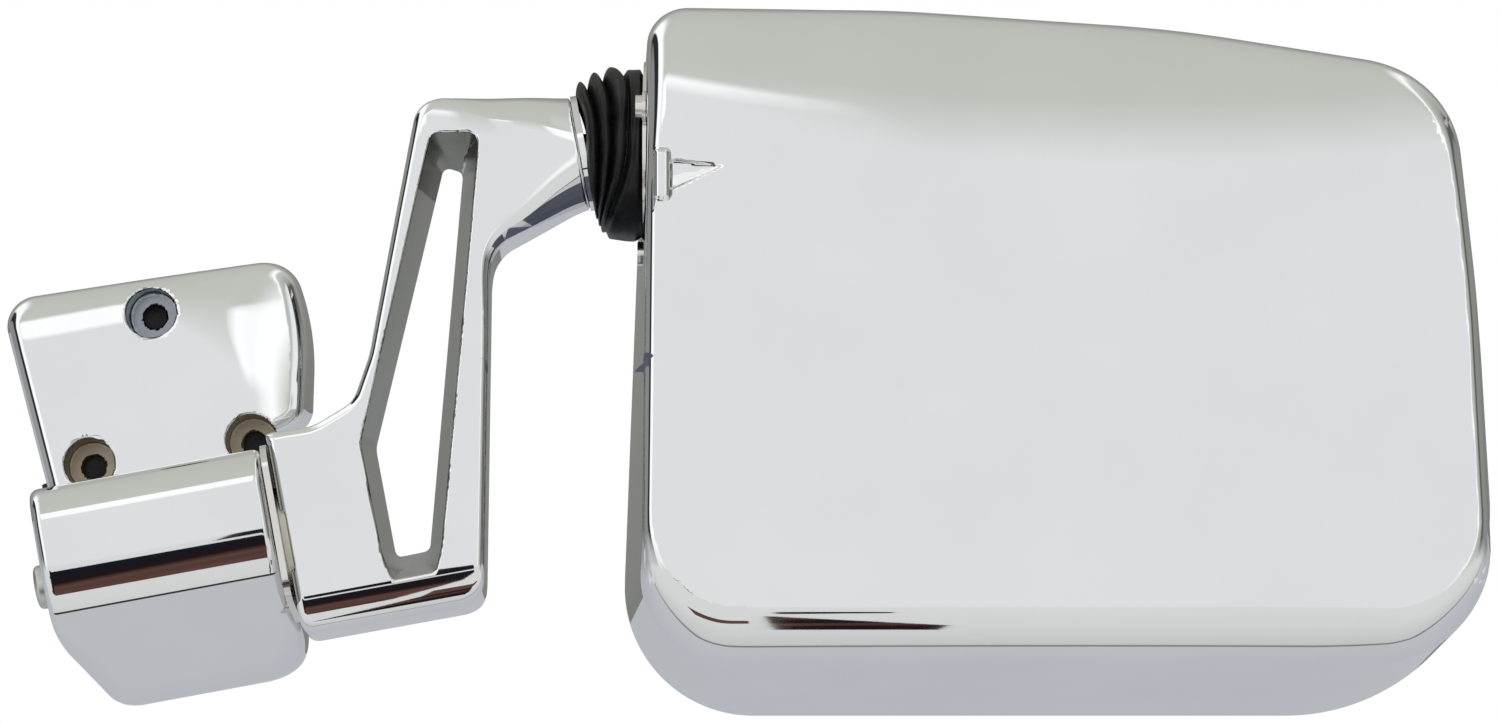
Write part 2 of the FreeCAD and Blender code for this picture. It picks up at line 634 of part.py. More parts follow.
BRACKET_SCREWS = ((148.0, 46.0), (148.0, 70.0))      # X, Z of the bosses on the front wall


def make_socket_bracket():
    """Angle bracket: a plate on the left wall's pad and a foot behind the front wall."""
    left = of("mount_face") + of("pad_thick")
    foot_y, thick, half = of("edge_y") + of("foot_gap"), of("bracket_thick"), of("foot_half")
    body = new_body("bracket_angle", straight())
    low, high, rear = of("ball_z") - 25, of("ball_z") + 21, of("ball_y") + 19.8
    plate = [(foot_y, high), (foot_y, low), (rear, low), (rear, high)]
    add_pad(body, outline_sketch(body, "YZ_Plane", left, plate), thick)
    end = left + of("foot_long")
    foot = [(left, of("ball_z") + half), (left, of("ball_z") - half), (end, of("ball_z") - half, 4),
            (end, of("ball_z") + half, 4)]
    add_pad(body, outline_sketch(body, "XZ_Plane", -foot_y - thick, foot), thick)
    tools = [cylinder("bracket_mouth", on_stud(-12), as_size(9), as_size(8))]
    for spot in flange_thread_spots():
        tools.append(cylinder("bracket_hole", on_stud(-12, *spot), of("flange_screw_r"), as_size(8)))
        tools.append(cylinder("ear_notch", on_stud(left + thick - of("ball_x"), *spot), of("ear_r") + 0.4,
                              as_size(5)))
    tools += [cylinder("foot_hole", front_screw_place(x, z, -60), as_size(1.5), as_size(20))
              for x, z in BRACKET_SCREWS]
    keep(cut("socket_bracket", body, fuse("bracket_tools", *tools)))
    screws = []
    top = foot_y.number + thick.number
    for x, z in BRACKET_SCREWS:
        screws.append(fuse("bracket_screw", cylinder("foot_head", front_screw_place(x, z, top),
                                                     of("screw_head_r"), of("screw_head_thick")),
                           cylinder("foot_shank", front_screw_place(x, z, top - 7), as_size(1.5),
                                    as_size(8))))
    keep(group("bracket_screws", screws))


def front_screw_place(x, z, y):
    """A place behind the front wall whose own Z runs along +Y."""
    return straight(x, y, z, Rotation(Vector(1, 0, 0), -90))


# ---------------------------------------------------------------- head

def rim_outline(inset):
    """Rear rim of the head, counter-clockwise from its upper left corner."""
    big, small, low = of("rim_corner"), of("rim_corner_top"), of("rim_bottom")
    return [(115 + inset, 90.3 - inset, small - inset * 0.6),
            (109 + inset, low + inset, big + of("low_left_extra") - inset),
            (321 - inset, low + inset, big + of("low_right_extra") - inset), (316.5 - inset, as_size(22)),
            (310 - inset, 74.5 - inset, big - inset), (240, 85.5 - inset), (175, 89.8 - inset)]


def edge_outline(inset):
    """Front edge of the head's skirt."""
    big, small, low = of("rim_corner"), of("rim_corner_top"), of("edge_bottom")
    foot = big * 0.7 - inset * 0.4
    return [(117.5 + inset, 88 - inset, small - inset * 0.3), (117 + inset, low + inset, foot),
            (312 - inset, low + inset, foot), (308.6 - inset, as_size(20)),
            (303 - inset, 72 - inset, big - inset * 0.4), (238, 83 - inset), (175, 87.5 - inset)]


def make_skin(name, inset, grow):
    """Solid between the rim, the front edge and the crown; grow moves the front face inwards."""
    body = new_body(name, straight())
    crown = of("crown_inset") * 0.5
    rear = -of("rim_y") - (1 if grow.number else 0)
    add_loft(body, [outline_sketch(body, "XZ_Plane", rear, rim_outline(inset)),
                    outline_sketch(body, "XZ_Plane", -of("edge_y") - grow, edge_outline(inset)),
                    outline_sketch(body, "XZ_Plane", -of("crown_y") - grow, edge_outline(inset + crown))])
    return body


def make_mirror_housing():
    wall = of("wall")
    outer = make_skin("skin_outer", as_size(0), as_size(0))
    inner = make_skin("skin_inner", wall, wall)
    inside = of("mount_face") + of("pad_thick")
    start, length = as_size(100) - of("ball_x"), inside - 100
    solid = [cylinder("mount_pad", on_stud(start), of("flange_r") + 2, length)]
    solid += [cylinder("ear_pad", on_stud(start, *spot), of("ear_r") + 2, length)
              for spot in flange_thread_spots()]
    solid += [cylinder("bracket_boss", front_screw_place(x, z, of("crown_y").number), as_size(4),
                       of("edge_y") + of("foot_gap") - of("crown_y")) for x, z in BRACKET_SCREWS]
    cavity = cut("cavity", inner, fuse("cavity_keepers", *solid))
    shell = cut("shell", outer, cavity)
    face = of("mount_face") - of("ball_x")
    tools = [cylinder("flange_recess", on_stud(face - 20), of("flange_r") + 0.6, as_size(20)),
             cylinder("wall_hole", on_stud(face - 1), of("flange_bore_r"), as_size(6))]
    for spot in flange_thread_spots():
        tools.append(cylinder("ear_recess", on_stud(face - 20, *spot), of("ear_r") + 0.6, as_size(20)))
        tools.append(cylinder("ear_hole", on_stud(face - 1, *spot), of("flange_screw_r"), as_size(6)))
    tools += [cylinder("boss_hole", front_screw_place(x, z, of("edge_y").number - 1.5), as_size(1.5),
                       as_size(8)) for x, z in BRACKET_SCREWS]
    return keep(cut("mirror_housing", shell, fuse("housing_tools", *tools)))


def rim_plate(name, near, thick, inset, window=None):
    """A flat piece with the rim's outline; window is the inset of its opening."""
    body = new_body(name, straight())
    add_pad(body, outline_sketch(body, "XZ_Plane", near, rim_outline(inset)), thick)
    if window:
        add_pocket(body, outline_sketch(body, "XZ_Plane", near + thick, rim_outline(window)), thick + 1)
    return body


def make_glass():
    """Glass pack and its trim ring, counted from the rim inwards."""
    rim = -of("rim_y")
    edge = of("glass_inset")
    lip = rim_plate("bezel_lip", rim - of("bezel_lip"), of("bezel_lip"), as_size(0.4), edge + 2.0)
    skirt = rim_plate("bezel_skirt", rim, of("glass_thick") + of("foam_thick"), edge - 2.1, edge - 0.3)
    keep(fuse("glass_bezel", lip, skirt))
    keep(rim_plate("mirror_glass", rim, of("glass_thick"), edge))
    behind = rim + of("glass_thick")
    keep(rim_plate("glass_adhesive_pad", behind, of("foam_thick"), edge * 2))
    keep(rim_plate("glass_backing_plate", behind + of("foam_thick"), of("backing_thick"), edge))


# ---------------------------------------------------------------- build, test, write

def check(trimmed):
    """Stop on a failed object, a broken shape or a pocket that removed nothing."""
    for thing in doc.Objects:
        if "Invalid" in thing.State or "Error" in thing.State:
            raise RuntimeError(f"{thing.Name} ({thing.Label}) failed: {thing.State}")
    for thing in trimmed:
        if thing.Shape.Volume > thing.BaseFeature.Shape.Volume - 1:
            raise RuntimeError(f"{thing.Name} cuts nothing")
    for part in SUB_PARTS:
        shape = part.Shape
        if shape.isNull() or not shape.isValid() or not shape.Solids:
            raise RuntimeError(f"{part.Label} has no valid shape")
        print(f"{part.Label:22s} solids {len(shape.Solids)}  volume {shape.Volume:10.1f}")


def main():
    trimmed = make_mounting_base()[1]
    make_base_gasket()
    make_pivot()
    make_mirror_arm()
    make_ball_stud()
    make_rubber_boot()
    make_seat("ball_seat_front", as_size(-7.4), as_size(-1.8))
    make_seat("ball_seat_rear", as_size(1.8), as_size(8.5))
    make_socket()
    make_flange()
    make_socket_bracket()
    make_mirror_housing()
    make_glass()
    doc.recompute()
    check(trimmed)
    os.makedirs("parts", exist_ok=True)
    for part in SUB_PARTS:
        part.Shape.exportStep(f"parts/{part.Label}.step")


main()
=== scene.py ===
"""Looks of a fold-away chrome side mirror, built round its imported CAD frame.

The three chrome castings are worked out as distance fields in millimetres: a casting is a
combination of outlines, planes and bores with a fillet at every joint. Each field is turned into a
mesh whose points lie on its surface and whose normals are the field's slope, so that reflections
stay clean. The base and the arm are drawn in the frame that is tilted with the fold axis.
"""
import math

import bpy
import numpy as np
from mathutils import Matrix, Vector


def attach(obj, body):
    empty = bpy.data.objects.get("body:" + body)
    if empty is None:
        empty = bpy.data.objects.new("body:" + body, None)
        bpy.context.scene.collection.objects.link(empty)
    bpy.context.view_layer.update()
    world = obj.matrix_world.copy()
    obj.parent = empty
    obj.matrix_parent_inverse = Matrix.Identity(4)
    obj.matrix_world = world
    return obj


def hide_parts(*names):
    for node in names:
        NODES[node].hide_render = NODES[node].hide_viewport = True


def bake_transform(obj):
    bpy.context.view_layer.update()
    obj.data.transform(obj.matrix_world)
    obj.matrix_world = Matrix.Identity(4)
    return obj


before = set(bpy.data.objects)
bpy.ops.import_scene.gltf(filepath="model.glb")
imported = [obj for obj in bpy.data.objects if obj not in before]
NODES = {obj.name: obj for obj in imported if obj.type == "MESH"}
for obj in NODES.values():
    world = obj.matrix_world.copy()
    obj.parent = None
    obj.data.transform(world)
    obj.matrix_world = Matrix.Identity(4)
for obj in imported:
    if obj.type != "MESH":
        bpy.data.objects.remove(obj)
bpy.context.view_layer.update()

MM = 0.001
TILT = math.radians(10.5)           # fold axis above +X
COS, SIN = math.cos(TILT), math.sin(TILT)
scene = bpy.context.scene
TINY = 1e-6
FAR_AWAY = 1e9                      # farther than anything in the part
STRAIGHT = math.pi / 2 - 1e-4       # half angle from which a corner counts as straight
CELL_SLACK = 0.2                    # how far a point may stray outside its cell, in cells


# ------------------------------------------------------------------ distance fields

def rounded_parts(corners, least=0.4):
    """Straight runs and arcs of a closed counter-clockwise outline of (x, y[, radius]) corners."""
    points = np.array([c[:2] for c in corners], float)
    radii = [c[2] if len(c) > 2 else least for c in corners]
    arcs, runs, ends = [], [], []
    for i, (corner, radius) in enumerate(zip(points, radii)):
        before = points[i - 1] - corner
        after = points[(i + 1) % len(points)] - corner
        before, after = before / np.linalg.norm(before), after / np.linalg.norm(after)
        half = math.acos(np.clip(before @ after, -1, 1)) / 2
        if half > STRAIGHT:
            ends.append((corner, corner))
            continue
        reach = radius / math.tan(half)
        inward = (before + after) / np.linalg.norm(before + after)
        convex = 1.0 if after[0] * before[1] - after[1] * before[0] > 0 else -1.0
        arcs.append((corner + inward * radius / math.sin(half), radius, -inward, math.sin(half), convex))
        ends.append((corner + before * reach, corner + after * reach))
    for i, (_, leave) in enumerate(ends):
        arrive = ends[(i + 1) % len(ends)][0]
        length = np.linalg.norm(arrive - leave)
        if length > TINY:
            runs.append((leave, (arrive - leave) / length, length))
    return runs, arcs


def outline_field(parts, x, y):
    """Signed distance to a rounded outline, negative inside."""
    runs, arcs = parts
    best = np.full(np.broadcast(x, y).shape, FAR_AWAY)
    signed = best.copy()
    for start, way, length in runs:
        dx, dy = x - start[0], y - start[1]
        along = np.clip(dx * way[0] + dy * way[1], 0, length)
        gap = np.hypot(dx - along * way[0], dy - along * way[1])
        side = np.where(way[0] * dy - way[1] * dx > 0, -1.0, 1.0)
        near = gap < best
        best = np.where(near, gap, best)
        signed = np.where(near, gap * side, signed)
    for centre, radius, out, span, convex in arcs:
        dx, dy = x - centre[0], y - centre[1]
        reach = np.hypot(dx, dy)
        inside = dx * out[0] + dy * out[1] >= reach * span
        gap = np.where(inside, np.abs(reach - radius), FAR_AWAY)
        near = gap < best
        best = np.where(near, gap, best)
        signed = np.where(near, (reach - radius) * convex, signed)
    return signed


def both(a, b, radius):
    """Overlap of two solids with a convex edge of that radius."""
    outside = np.hypot(np.maximum(a + radius, 0), np.maximum(b + radius, 0))
    return np.minimum(np.maximum(a, b), -radius) + outside


def either(a, b, radius):
    """Union of two solids with a fillet of that radius."""
    return -both(-a, -b, radius)


def mixed(a, b, share):
    """The value that is a at share 0 and b at share 1."""
    return a + (b - a) * share


def ramped(value, low, high):
    """0 below low, 1 above high and a soft rise between them."""
    share = np.clip((value - low) / (high - low), 0, 1)
    return share * share * (3 - 2 * share)


# ------------------------------------------------------------------ field to mesh

def slope(field, points, reach=0.01):
    """The field's slope at each point, from values a short reach away."""
    columns = []
    for axis in range(3):
        step = np.zeros(3)
        step[axis] = reach
        columns.append(field(*(points + step).T) - field(*(points - step).T))
    return np.stack(columns, 1) / (2 * reach)


def spaced(start, end, step, *fine):
    """Grid lines from start to end; fine holds (from, to, step) stretches with closer lines."""
    lines, at = [start], start
    while at < end:
        pace = step
        for low, high, small in fine:
            if low <= at < high:
                pace = min(pace, small)
            elif at < low:
                pace = min(pace, max(small, (low - at) * 0.5))
        at += pace
        lines.append(at)
    return np.array(lines)


CORNERS = [(i, j, k) for i in (0, 1) for j in (0, 1) for k in (0, 1)]


def surface(field, xs, ys, zs, rounds=3):
    """Points and quads of the field's zero surface on a rectangular grid (surface nets).

    A point starts at the mean of its cell's crossings, and rounds steps pull it onto the surface.
    """
    value = field(xs[:, None, None], ys[None, :, None], zs[None, None, :])
    value = np.broadcast_to(value, (len(xs), len(ys), len(zs)))
    inside = value < 0
    count = sum(inside[i:len(xs) - 1 + i, j:len(ys) - 1 + j, k:len(zs) - 1 + k].astype(np.int8)
                for i, j, k in CORNERS)
    cells = np.argwhere((count > 0) & (count < 8))
    number = np.full(count.shape, -1, np.int64)
    number[tuple(cells.T)] = np.arange(len(cells))
    lines = (xs, ys, zs)
    total, hits = np.zeros((len(cells), 3)), np.zeros(len(cells))
    for a in CORNERS:
        for axis in range(3):
            if a[axis]:
                continue
            b = tuple(1 if n == axis else a[n] for n in range(3))
            ia, ib = cells + a, cells + b
            va, vb = value[tuple(ia.T)], value[tuple(ib.T)]
            cut = (va < 0) != (vb < 0)
            share = np.where(cut, va / np.where(cut, va - vb, 1), 0)
            pa = np.stack([lines[n][ia[:, n]] for n in range(3)], 1)
            pb = np.stack([lines[n][ib[:, n]] for n in range(3)], 1)
            total += np.where(cut[:, None], pa + (pb - pa) * share[:, None], 0)
            hits += cut
    points = total / hits[:, None]
    low = np.stack([lines[n][cells[:, n]] for n in range(3)], 1)
    high = np.stack([lines[n][cells[:, n] + 1] for n in range(3)], 1)
    room = (high - low) * CELL_SLACK
    for _ in range(rounds):
        grade = slope(field, points)
        points = points - grade * (field(*points.T) / np.maximum((grade ** 2).sum(1), TINY))[:, None]
        points = np.clip(points, low - room, high + room)
    faces = []
    for axis in range(3):
        first = [slice(None)] * 3
        second = [slice(None)] * 3
        first[axis], second[axis] = slice(0, -1), slice(1, None)
        flip = inside[tuple(first)] != inside[tuple(second)]
        edges = np.argwhere(flip)
        others = [n for n in range(3) if n != axis]
        sizes = [len(lines[n]) - 1 for n in others]
        keep = np.all([(edges[:, n] > 0) & (edges[:, n] < size) for n, size in zip(others, sizes)], axis=0)
        edges = edges[keep]
        ring = []
        for p, q in ((-1, -1), (0, -1), (0, 0), (-1, 0)):
            cell = edges.copy()
            cell[:, others[0]] += p
            cell[:, others[1]] += q
            ring.append(number[tuple(cell.T)])
        quads = np.stack(ring, 1)
        turn = inside[tuple(edges.T)]
        if axis == 1:
            turn = ~turn
        faces.append(np.where(turn[:, None], quads, quads[:, ::-1]))
    return points, np.concatenate(faces)


def cast(name, body, replaced, field, grid, materials, tilt=False, paint=None):
    """A piece made from a field; paint(points, normals) gives each face's material number."""
    points, faces = surface(field, *grid)
    normals = slope(field, points)
    normals /= np.maximum(np.linalg.norm(normals, axis=1), TINY)[:, None]
    kinds = paint(points[faces].mean(1), normals[faces].mean(1)) if paint else None
    if tilt:
        turn = np.array([[COS, 0, -SIN], [0, 1, 0], [SIN, 0, COS]])
        points, normals = points @ turn.T, normals @ turn.T
    return shell(name, body, replaced, points, faces, normals, materials, kinds)


def shell(name, body, replaced, points, faces, normals, materials, kinds=None):
    """A piece made from points in millimetres, faces and point normals."""
    mesh = bpy.data.meshes.new(name)
    mesh.from_pydata((points * MM).tolist(), [], np.asarray(faces).tolist())
    mesh.shade_smooth()
    for material in materials:
        mesh.materials.append(material)
    if kinds is not None:
        mesh.polygons.foreach_set("material_index", kinds.astype(np.int32))
    mesh.normals_split_custom_set_from_vertices(normals.tolist())
    piece = bpy.data.objects.new(name, mesh)
    scene.collection.objects.link(piece)
    if body:
        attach(piece, body)
    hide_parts(*replaced)
    return piece


# ------------------------------------------------------------------ materials

def node(tree, kind, **sockets):
    """A new shader node whose named sockets hold constants."""
    made = tree.nodes.new("ShaderNode" + kind)
    for name, value in sockets.items():
        made.inputs[name.replace("_", " ")].default_value = value
    return made


def blank(name, **sockets):
    """A material with a Principled shader whose named sockets hold constants."""
    material = bpy.data.materials.new(name)
    material.use_nodes = True
    tree = material.node_tree
    shader = tree.nodes["Principled BSDF"]
    for socket, value in sockets.items():
        shader.inputs[socket.replace("_", " ")].default_value = value
    return material, tree, shader


def grain(tree, scale, detail=3.0, roughness=0.5):
    """Noise fixed to the piece; scale counts its patches in a metre."""
    place = tree.nodes.new("ShaderNodeTexCoord")
    noise = node(tree, "TexNoise", Scale=scale, Detail=detail, Roughness=roughness)
    tree.links.new(place.outputs["Object"], noise.inputs["Vector"])
    return noise.outputs["Fac"]


def ramp(tree, source, *stops):
    """Colours along a value from 0 to 1, as (place, colour) stops."""
    made = tree.nodes.new("ShaderNodeValToRGB")
    line = made.color_ramp
    while len(line.elements) < len(stops):
        line.elements.new(0.5)
    for element, (place, colour) in zip(line.elements, stops):
        element.position = place
        element.color = (*colour, 1)
    tree.links.new(source, made.inputs["Fac"])
    return made.outputs["Color"]


def levels(tree, source, low, high):
    """Noise stretched to run from low to high."""
    made = node(tree, "MapRange", From_Min=0.3, From_Max=0.7, To_Min=low, To_Max=high)
    tree.links.new(source, made.inputs["Value"])
    return made.outputs["Result"]


def bump(tree, shader, height, strength, depth):
    """Relief of that depth in metres on the shader's normal."""
    made = node(tree, "Bump", Strength=strength, Distance=depth)
    tree.links.new(height, made.inputs["Height"])
    tree.links.new(made.outputs["Normal"], shader.inputs["Normal"])


def chrome(name, colour, rough, ripple, wear=0.02):
    """Plated metal: slight ripple of the polish and a faint haze in patches."""
    material, tree, shader = blank(name, Metallic=1.0)
    tint = ramp(tree, grain(tree, scale=30, detail=4), (0.35, [c * 0.97 for c in colour]), (0.65, colour))
    tree.links.new(tint, shader.inputs["Base Color"])
    haze = levels(tree, grain(tree, scale=55, detail=6, roughness=0.65), low=rough, high=rough + wear)
    tree.links.new(haze, shader.inputs["Roughness"])
    bump(tree, shader, grain(tree, scale=110, detail=2), strength=ripple, depth=0.0004)
    return material


def rubber(name, dark, dusty, rough):
    """Moulded rubber: fine grain, with dust and wear where the noise is high."""
    material, tree, shader = blank(name, Specular_IOR_Level=0.3)
    tint = ramp(tree, grain(tree, scale=160, detail=8, roughness=0.7), (0.42, dark), (0.72, dusty))
    tree.links.new(tint, shader.inputs["Base Color"])
    worn = levels(tree, grain(tree, scale=240, detail=4), low=rough, high=rough + 0.2)
    tree.links.new(worn, shader.inputs["Roughness"])
    bump(tree, shader, grain(tree, scale=1400, detail=3), strength=0.25, depth=0.0003)
    return material


def plastic(name, colour, rough, pebble, depth, scale=900):
    """Moulded plastic with a fine pebble and a slightly uneven sheen."""
    material, tree, shader = blank(name, Specular_IOR_Level=0.5)
    patches = grain(tree, scale=90, detail=6, roughness=0.6)
    tint = ramp(tree, patches, (0.35, [c * 0.8 for c in colour]), (0.65, colour))
    tree.links.new(tint, shader.inputs["Base Color"])
    sheen = levels(tree, grain(tree, scale=200, detail=4), low=rough, high=rough + 0.15)
    tree.links.new(sheen, shader.inputs["Roughness"])
    bump(tree, shader, grain(tree, scale=scale, detail=2), strength=pebble, depth=depth)
    return material


def foam(name):
    """Open-cell adhesive pad: dark cells in a grey sheet."""
    material, tree, shader = blank(name, Roughness=0.9)
    cells = node(tree, "TexVoronoi", Scale=900.0)
    place = tree.nodes.new("ShaderNodeTexCoord")
    tree.links.new(place.outputs["Object"], cells.inputs["Vector"])
    tint = ramp(tree, cells.outputs["Distance"], (0.1, (0.02, 0.02, 0.02)), (0.5, (0.10, 0.10, 0.105)))
    tree.links.new(tint, shader.inputs["Base Color"])
    bump(tree, shader, cells.outputs["Distance"], strength=0.6, depth=0.0004)
    return material


MAT = {
    "zinc_steel": chrome("zinc_steel", (0.60, 0.60, 0.57), rough=0.28, ripple=0.12, wear=0.15),
    "bright_steel": chrome("bright_steel", (0.74, 0.73, 0.70), rough=0.12, ripple=0.05, wear=0.08),
    "spring_steel": chrome("spring_steel", (0.28, 0.28, 0.29), rough=0.30, ripple=0.10, wear=0.12),
    "mirror": chrome("mirror", (0.90, 0.92, 0.92), rough=0.004, ripple=0.0, wear=0.004),
    "nylon": plastic("nylon", (0.72, 0.70, 0.62), rough=0.40, pebble=0.2, depth=0.0002),
    "black_plastic": plastic("black_plastic", (0.022, 0.022, 0.023), rough=0.45, pebble=0.5, depth=0.0003,
                             scale=1500),
    "foam": foam("foam"),
    "rubber": rubber("black_rubber", dark=(0.004, 0.004, 0.005), dusty=(0.016, 0.016, 0.015), rough=0.30),
    "chrome": chrome("chrome", (0.80, 0.805, 0.81), rough=0.025, ripple=0.012),
    # painted shade: chrome darker than the rest, as well as duller, for the slot's walls
    "satin": chrome("chrome_recess", (0.66, 0.665, 0.66), rough=0.16, ripple=0.05, wear=0.06),
    # painted shade: dark chrome for faces under the slot's upper end
    "slot_top_painted_shade": chrome("chrome_slot_top_painted_shade", (0.17, 0.17, 0.13), rough=0.22, ripple=0.08, wear=0.1),
    # painted shade: dark chrome along the parting line's groove
    "seam": chrome("chrome_groove_painted_shade", (0.06, 0.06, 0.065), rough=0.35, ripple=0.0, wear=0.1),
    # painted shade: blue-grey chrome on the upper screw recess's walls
    "thin": chrome("chrome_upper_recess_painted_shade", (0.30, 0.32, 0.36), rough=0.20, ripple=0.08, wear=0.1),
    # painted shade: brown chrome on the lower screw recesses' walls
    "bare": chrome("chrome_lower_recess_painted_shade", (0.42, 0.36, 0.28), rough=0.38, ripple=0.35, wear=0.15),
}


# ------------------------------------------------------------------ mirror head shell

RIM_Y, EDGE_Y, CROWN_Y, WALL = -4.0, -60.0, -64.6, 2.0
FLAT = 300                          # radius where two long edges nearly line up
RIM = [(115, 90.3, 11), (109, -74, 31), (321, -74, 50), (316.5, 22, FLAT), (310, 74.5, 26),
       (240, 85.5, FLAT), (175, 89.8, FLAT)]
EDGE = [(116.5, 90.2, 9.5), (115.0, -62.3, 21), (312.2, -62.3, 24), (308.8, 20, FLAT), (303.5, 74, 26),
        (238, 85.4, FLAT), (175, 89.9, FLAT)]
RIM_PARTS, EDGE_PARTS = rounded_parts(RIM), rounded_parts(EDGE)
DOME_X, DOME_Z, DOME_HALF_X, DOME_HALF_Z, DOME_FALL = 214, 10, 98, 70, 1.5
TOP_X, TOP_Z, TOP_BEND = 130, 89, 0.00052           # upper edge of the face, bending down to the right
ROLL_X, ROLL_HIGH, ROLL_BEND, ROLL_CURVE = 195, 37.6, 0.00144, 0.0062       # the rolled band below it
FRONT_ROUND, FOOT_ROUND, TOP_ROUND, LEAST_ROUND = 2.6, 9.9, 2.4, 1.2        # fillets of the front edge
FOOT_FROM, FOOT_TO, TOP_FROM, TOP_TO = -30, -58, 40, 80
BALL = (131.0, -32.0, 58.0)
SOCKET_R, SOCKET_X, PAD_R, PAD_X, OPENING_R = 20.7, 117.5, 22.2, 120.5, 12  # seat of the flange
LUG, LUG_HALF = (119.9, -58, 48.9), (1.9, 6.2, 6.2)
DENT_X, DENT_START, DENT_END, DENT_RISE = 121, 122.0, 135, 0.17     # pointed dent right of the lug
DENT_HALF, DENT_TAPER, DENT_DEEPENING, DENT_SIDES, DENT_Y = 3.9, 0.30, 0.13, 0.15, -52


def head_face(x, z):
    """Depth of the front face: a faint dome that rolls back towards the upper edge."""
    dome = DOME_FALL * (((x - DOME_X) / DOME_HALF_X) ** 2 + ((z - DOME_Z) / DOME_HALF_Z) ** 2)
    top = TOP_Z - TOP_BEND * (x - TOP_X) ** 2
    roll = ROLL_HIGH - ROLL_BEND * (x - ROLL_X) ** 2
    return CROWN_Y + dome + ROLL_CURVE * np.maximum(z - top + roll, 0) ** 2


def head_field(x, y, z):
    """Open shell with a round seat for the joint's flange on its left, and a lug and a dent."""
    depth = (RIM_Y - y) / (RIM_Y - EDGE_Y)
    side = mixed(outline_field(RIM_PARTS, x, z), outline_field(EDGE_PARTS, x, z), depth)
    face = head_face(x, z) - y
    edge = FRONT_ROUND + FOOT_ROUND * ramped(z, FOOT_FROM, FOOT_TO)
    edge = edge + TOP_ROUND * ramped(z, TOP_FROM, TOP_TO)
    outer = both(side, face, edge)
    inner = both(side + WALL, face + WALL, np.maximum(edge - WALL, LEAST_ROUND))
    skin = np.maximum(outer, -inner)
    reach = np.hypot(y - BALL[1], z - BALL[2])
    socket = both(reach - SOCKET_R, x - SOCKET_X, 0.4)
    skin = both(skin, -socket, 0.4)
    pad = both(both(reach - PAD_R, x - PAD_X, 0.5), side, 0.5)
    skin = np.minimum(skin, both(pad, -socket, 0.4))
    skin = both(skin, -(reach - OPENING_R), 0.4)
    gap_x, gap_y, gap_z = (np.abs(v - LUG[n]) - LUG_HALF[n] for n, v in enumerate((x, y, z)))
    skin = either(skin, both(both(gap_z, gap_x, 1.3), gap_y, 1.1), 0.3)
    across = np.abs(z - LUG[2] - (x - DENT_X) * DENT_RISE)
    dent = both(across - DENT_HALF + (x - DENT_X) * DENT_TAPER, DENT_START - x, 0.8)
    floor = head_face(x, z) + DENT_DEEPENING * (DENT_END - x) - across * DENT_SIDES
    dent = both(both(dent, y - floor, 0.6), y - DENT_Y, 0.5)
    skin = both(skin, -dent, 0.35)
    return both(skin, y - RIM_Y, 0.7)


HEAD_GRID = (
    spaced(106, 324, 3.2, (108, 137, 0.8), (137, 150, 1.3), (280, 322, 1.0)),
    spaced(-67, -2, 2.4, (-67, -50, 0.85), (-8, -3, 0.5)),
    spaced(-76, 93, 3.0, (-76, -46, 0.85), (46, 56, 0.7), (66, 92, 1.0)))
cast("head_shell", "head", ["mirror_housing"], head_field, HEAD_GRID, [MAT["chrome"]])


BEZEL_OUT, BEZEL_IN = 0.5, 9.2       # the bezel's edges, inwards from the rim's outline
LIP_Y, LIP_HALF = -5.0, 2.5
GLASS_IN, GLASS_FRONT, GLASS_BACK = 7.9, -6.9, -4.0     # step that holds the glass


def bezel_field(x, y, z):
    """Plastic frame round the glass: a rolled lip with a step for the glass."""
    side = outline_field(RIM_PARTS, x, z)
    ring = np.maximum(side + BEZEL_OUT, -(side + BEZEL_IN))
    lip = both(ring, np.abs(y - LIP_Y) - LIP_HALF, 0.9)
    step = both(np.maximum(-(side + GLASS_IN), GLASS_FRONT - y), y - GLASS_BACK, 0.2)
    return np.maximum(lip, -step)


BEZEL_GRID = (spaced(108, 323, 2.6, (109, 155, 0.8), (262, 322, 0.9)), spaced(-8, -2, 0.5),
              spaced(-76, 92, 2.6, (-75, -28, 0.8), (44, 91, 0.9)))
cast("bezel", "head", ["glass_bezel"], bezel_field, BEZEL_GRID, [MAT["black_plastic"]])


# ------------------------------------------------------------------ base

PLATE_BACK = rounded_parts([(-35.5, 33.2, 8), (-31.6, -14, 30), (-31.6, -40), (21.8, -40), (21.8, -13),
                            (33.5, -10, 6), (38.2, 12, 60), (35.6, 31, 9)])
PLATE_FRONT = rounded_parts([(-34.4, 32, 7), (-30.8, -14, 30), (-30.8, -40), (20.8, -40), (20.8, -13),
                             (31.6, -9, 6), (35.6, 12, 60), (33.2, 30, 8)])
BOSS_SIDE = rounded_parts([(-48, -16.9, 9), (-47.5, -40.7, 24), (-43.3, -47.1, 1.5), (-8.5, -70.5, 5),
                           (4, -70.5), (4, -16.9)])
BOSS_FRONT = rounded_parts([(-35.4, -10, 1), (-35.4, -48.5, 9), (-22.6, -70.6, 8), (25.2, -70.6, 12),
                            (22.8, -50, 60), (22.8, -10, 1)])
PIVOT = (-30.0, -39.0)
PARTING, PARTING_R = (-43.4, -47.0), 0.22       # hairline groove along the fold of the boss
SCREWS = [(22.5 * math.cos(math.radians(88 + 120 * i)), 22.5 * math.sin(math.radians(88 + 120 * i)))
          for i in range(3)]
PLATE_FACE, SINK_FLOOR, BASE_BACK = -15.5, -5.5, -1.5
ROLL_U, ROLL_W, ROLL_FLAT, ROLL_SOFT = -8, -5, 23, 10       # where the plate's face rolls back
BOSS_END, BOSS_END_WAY = (-34.3, -4), (-40, -2)     # a point of the boss's left end, and its way out
SINK_R, HOLE_R = 6, 2.8                     # screw recesses and the holes in their floors
HEAD_POCKET_R, HEAD_POCKET_U = 7.6, -31.6   # pocket for the head of the pivot bolt
SPRING_POCKET_R, SPRING_POCKET_U, BOLT_BORE_R = 12, -4, 7


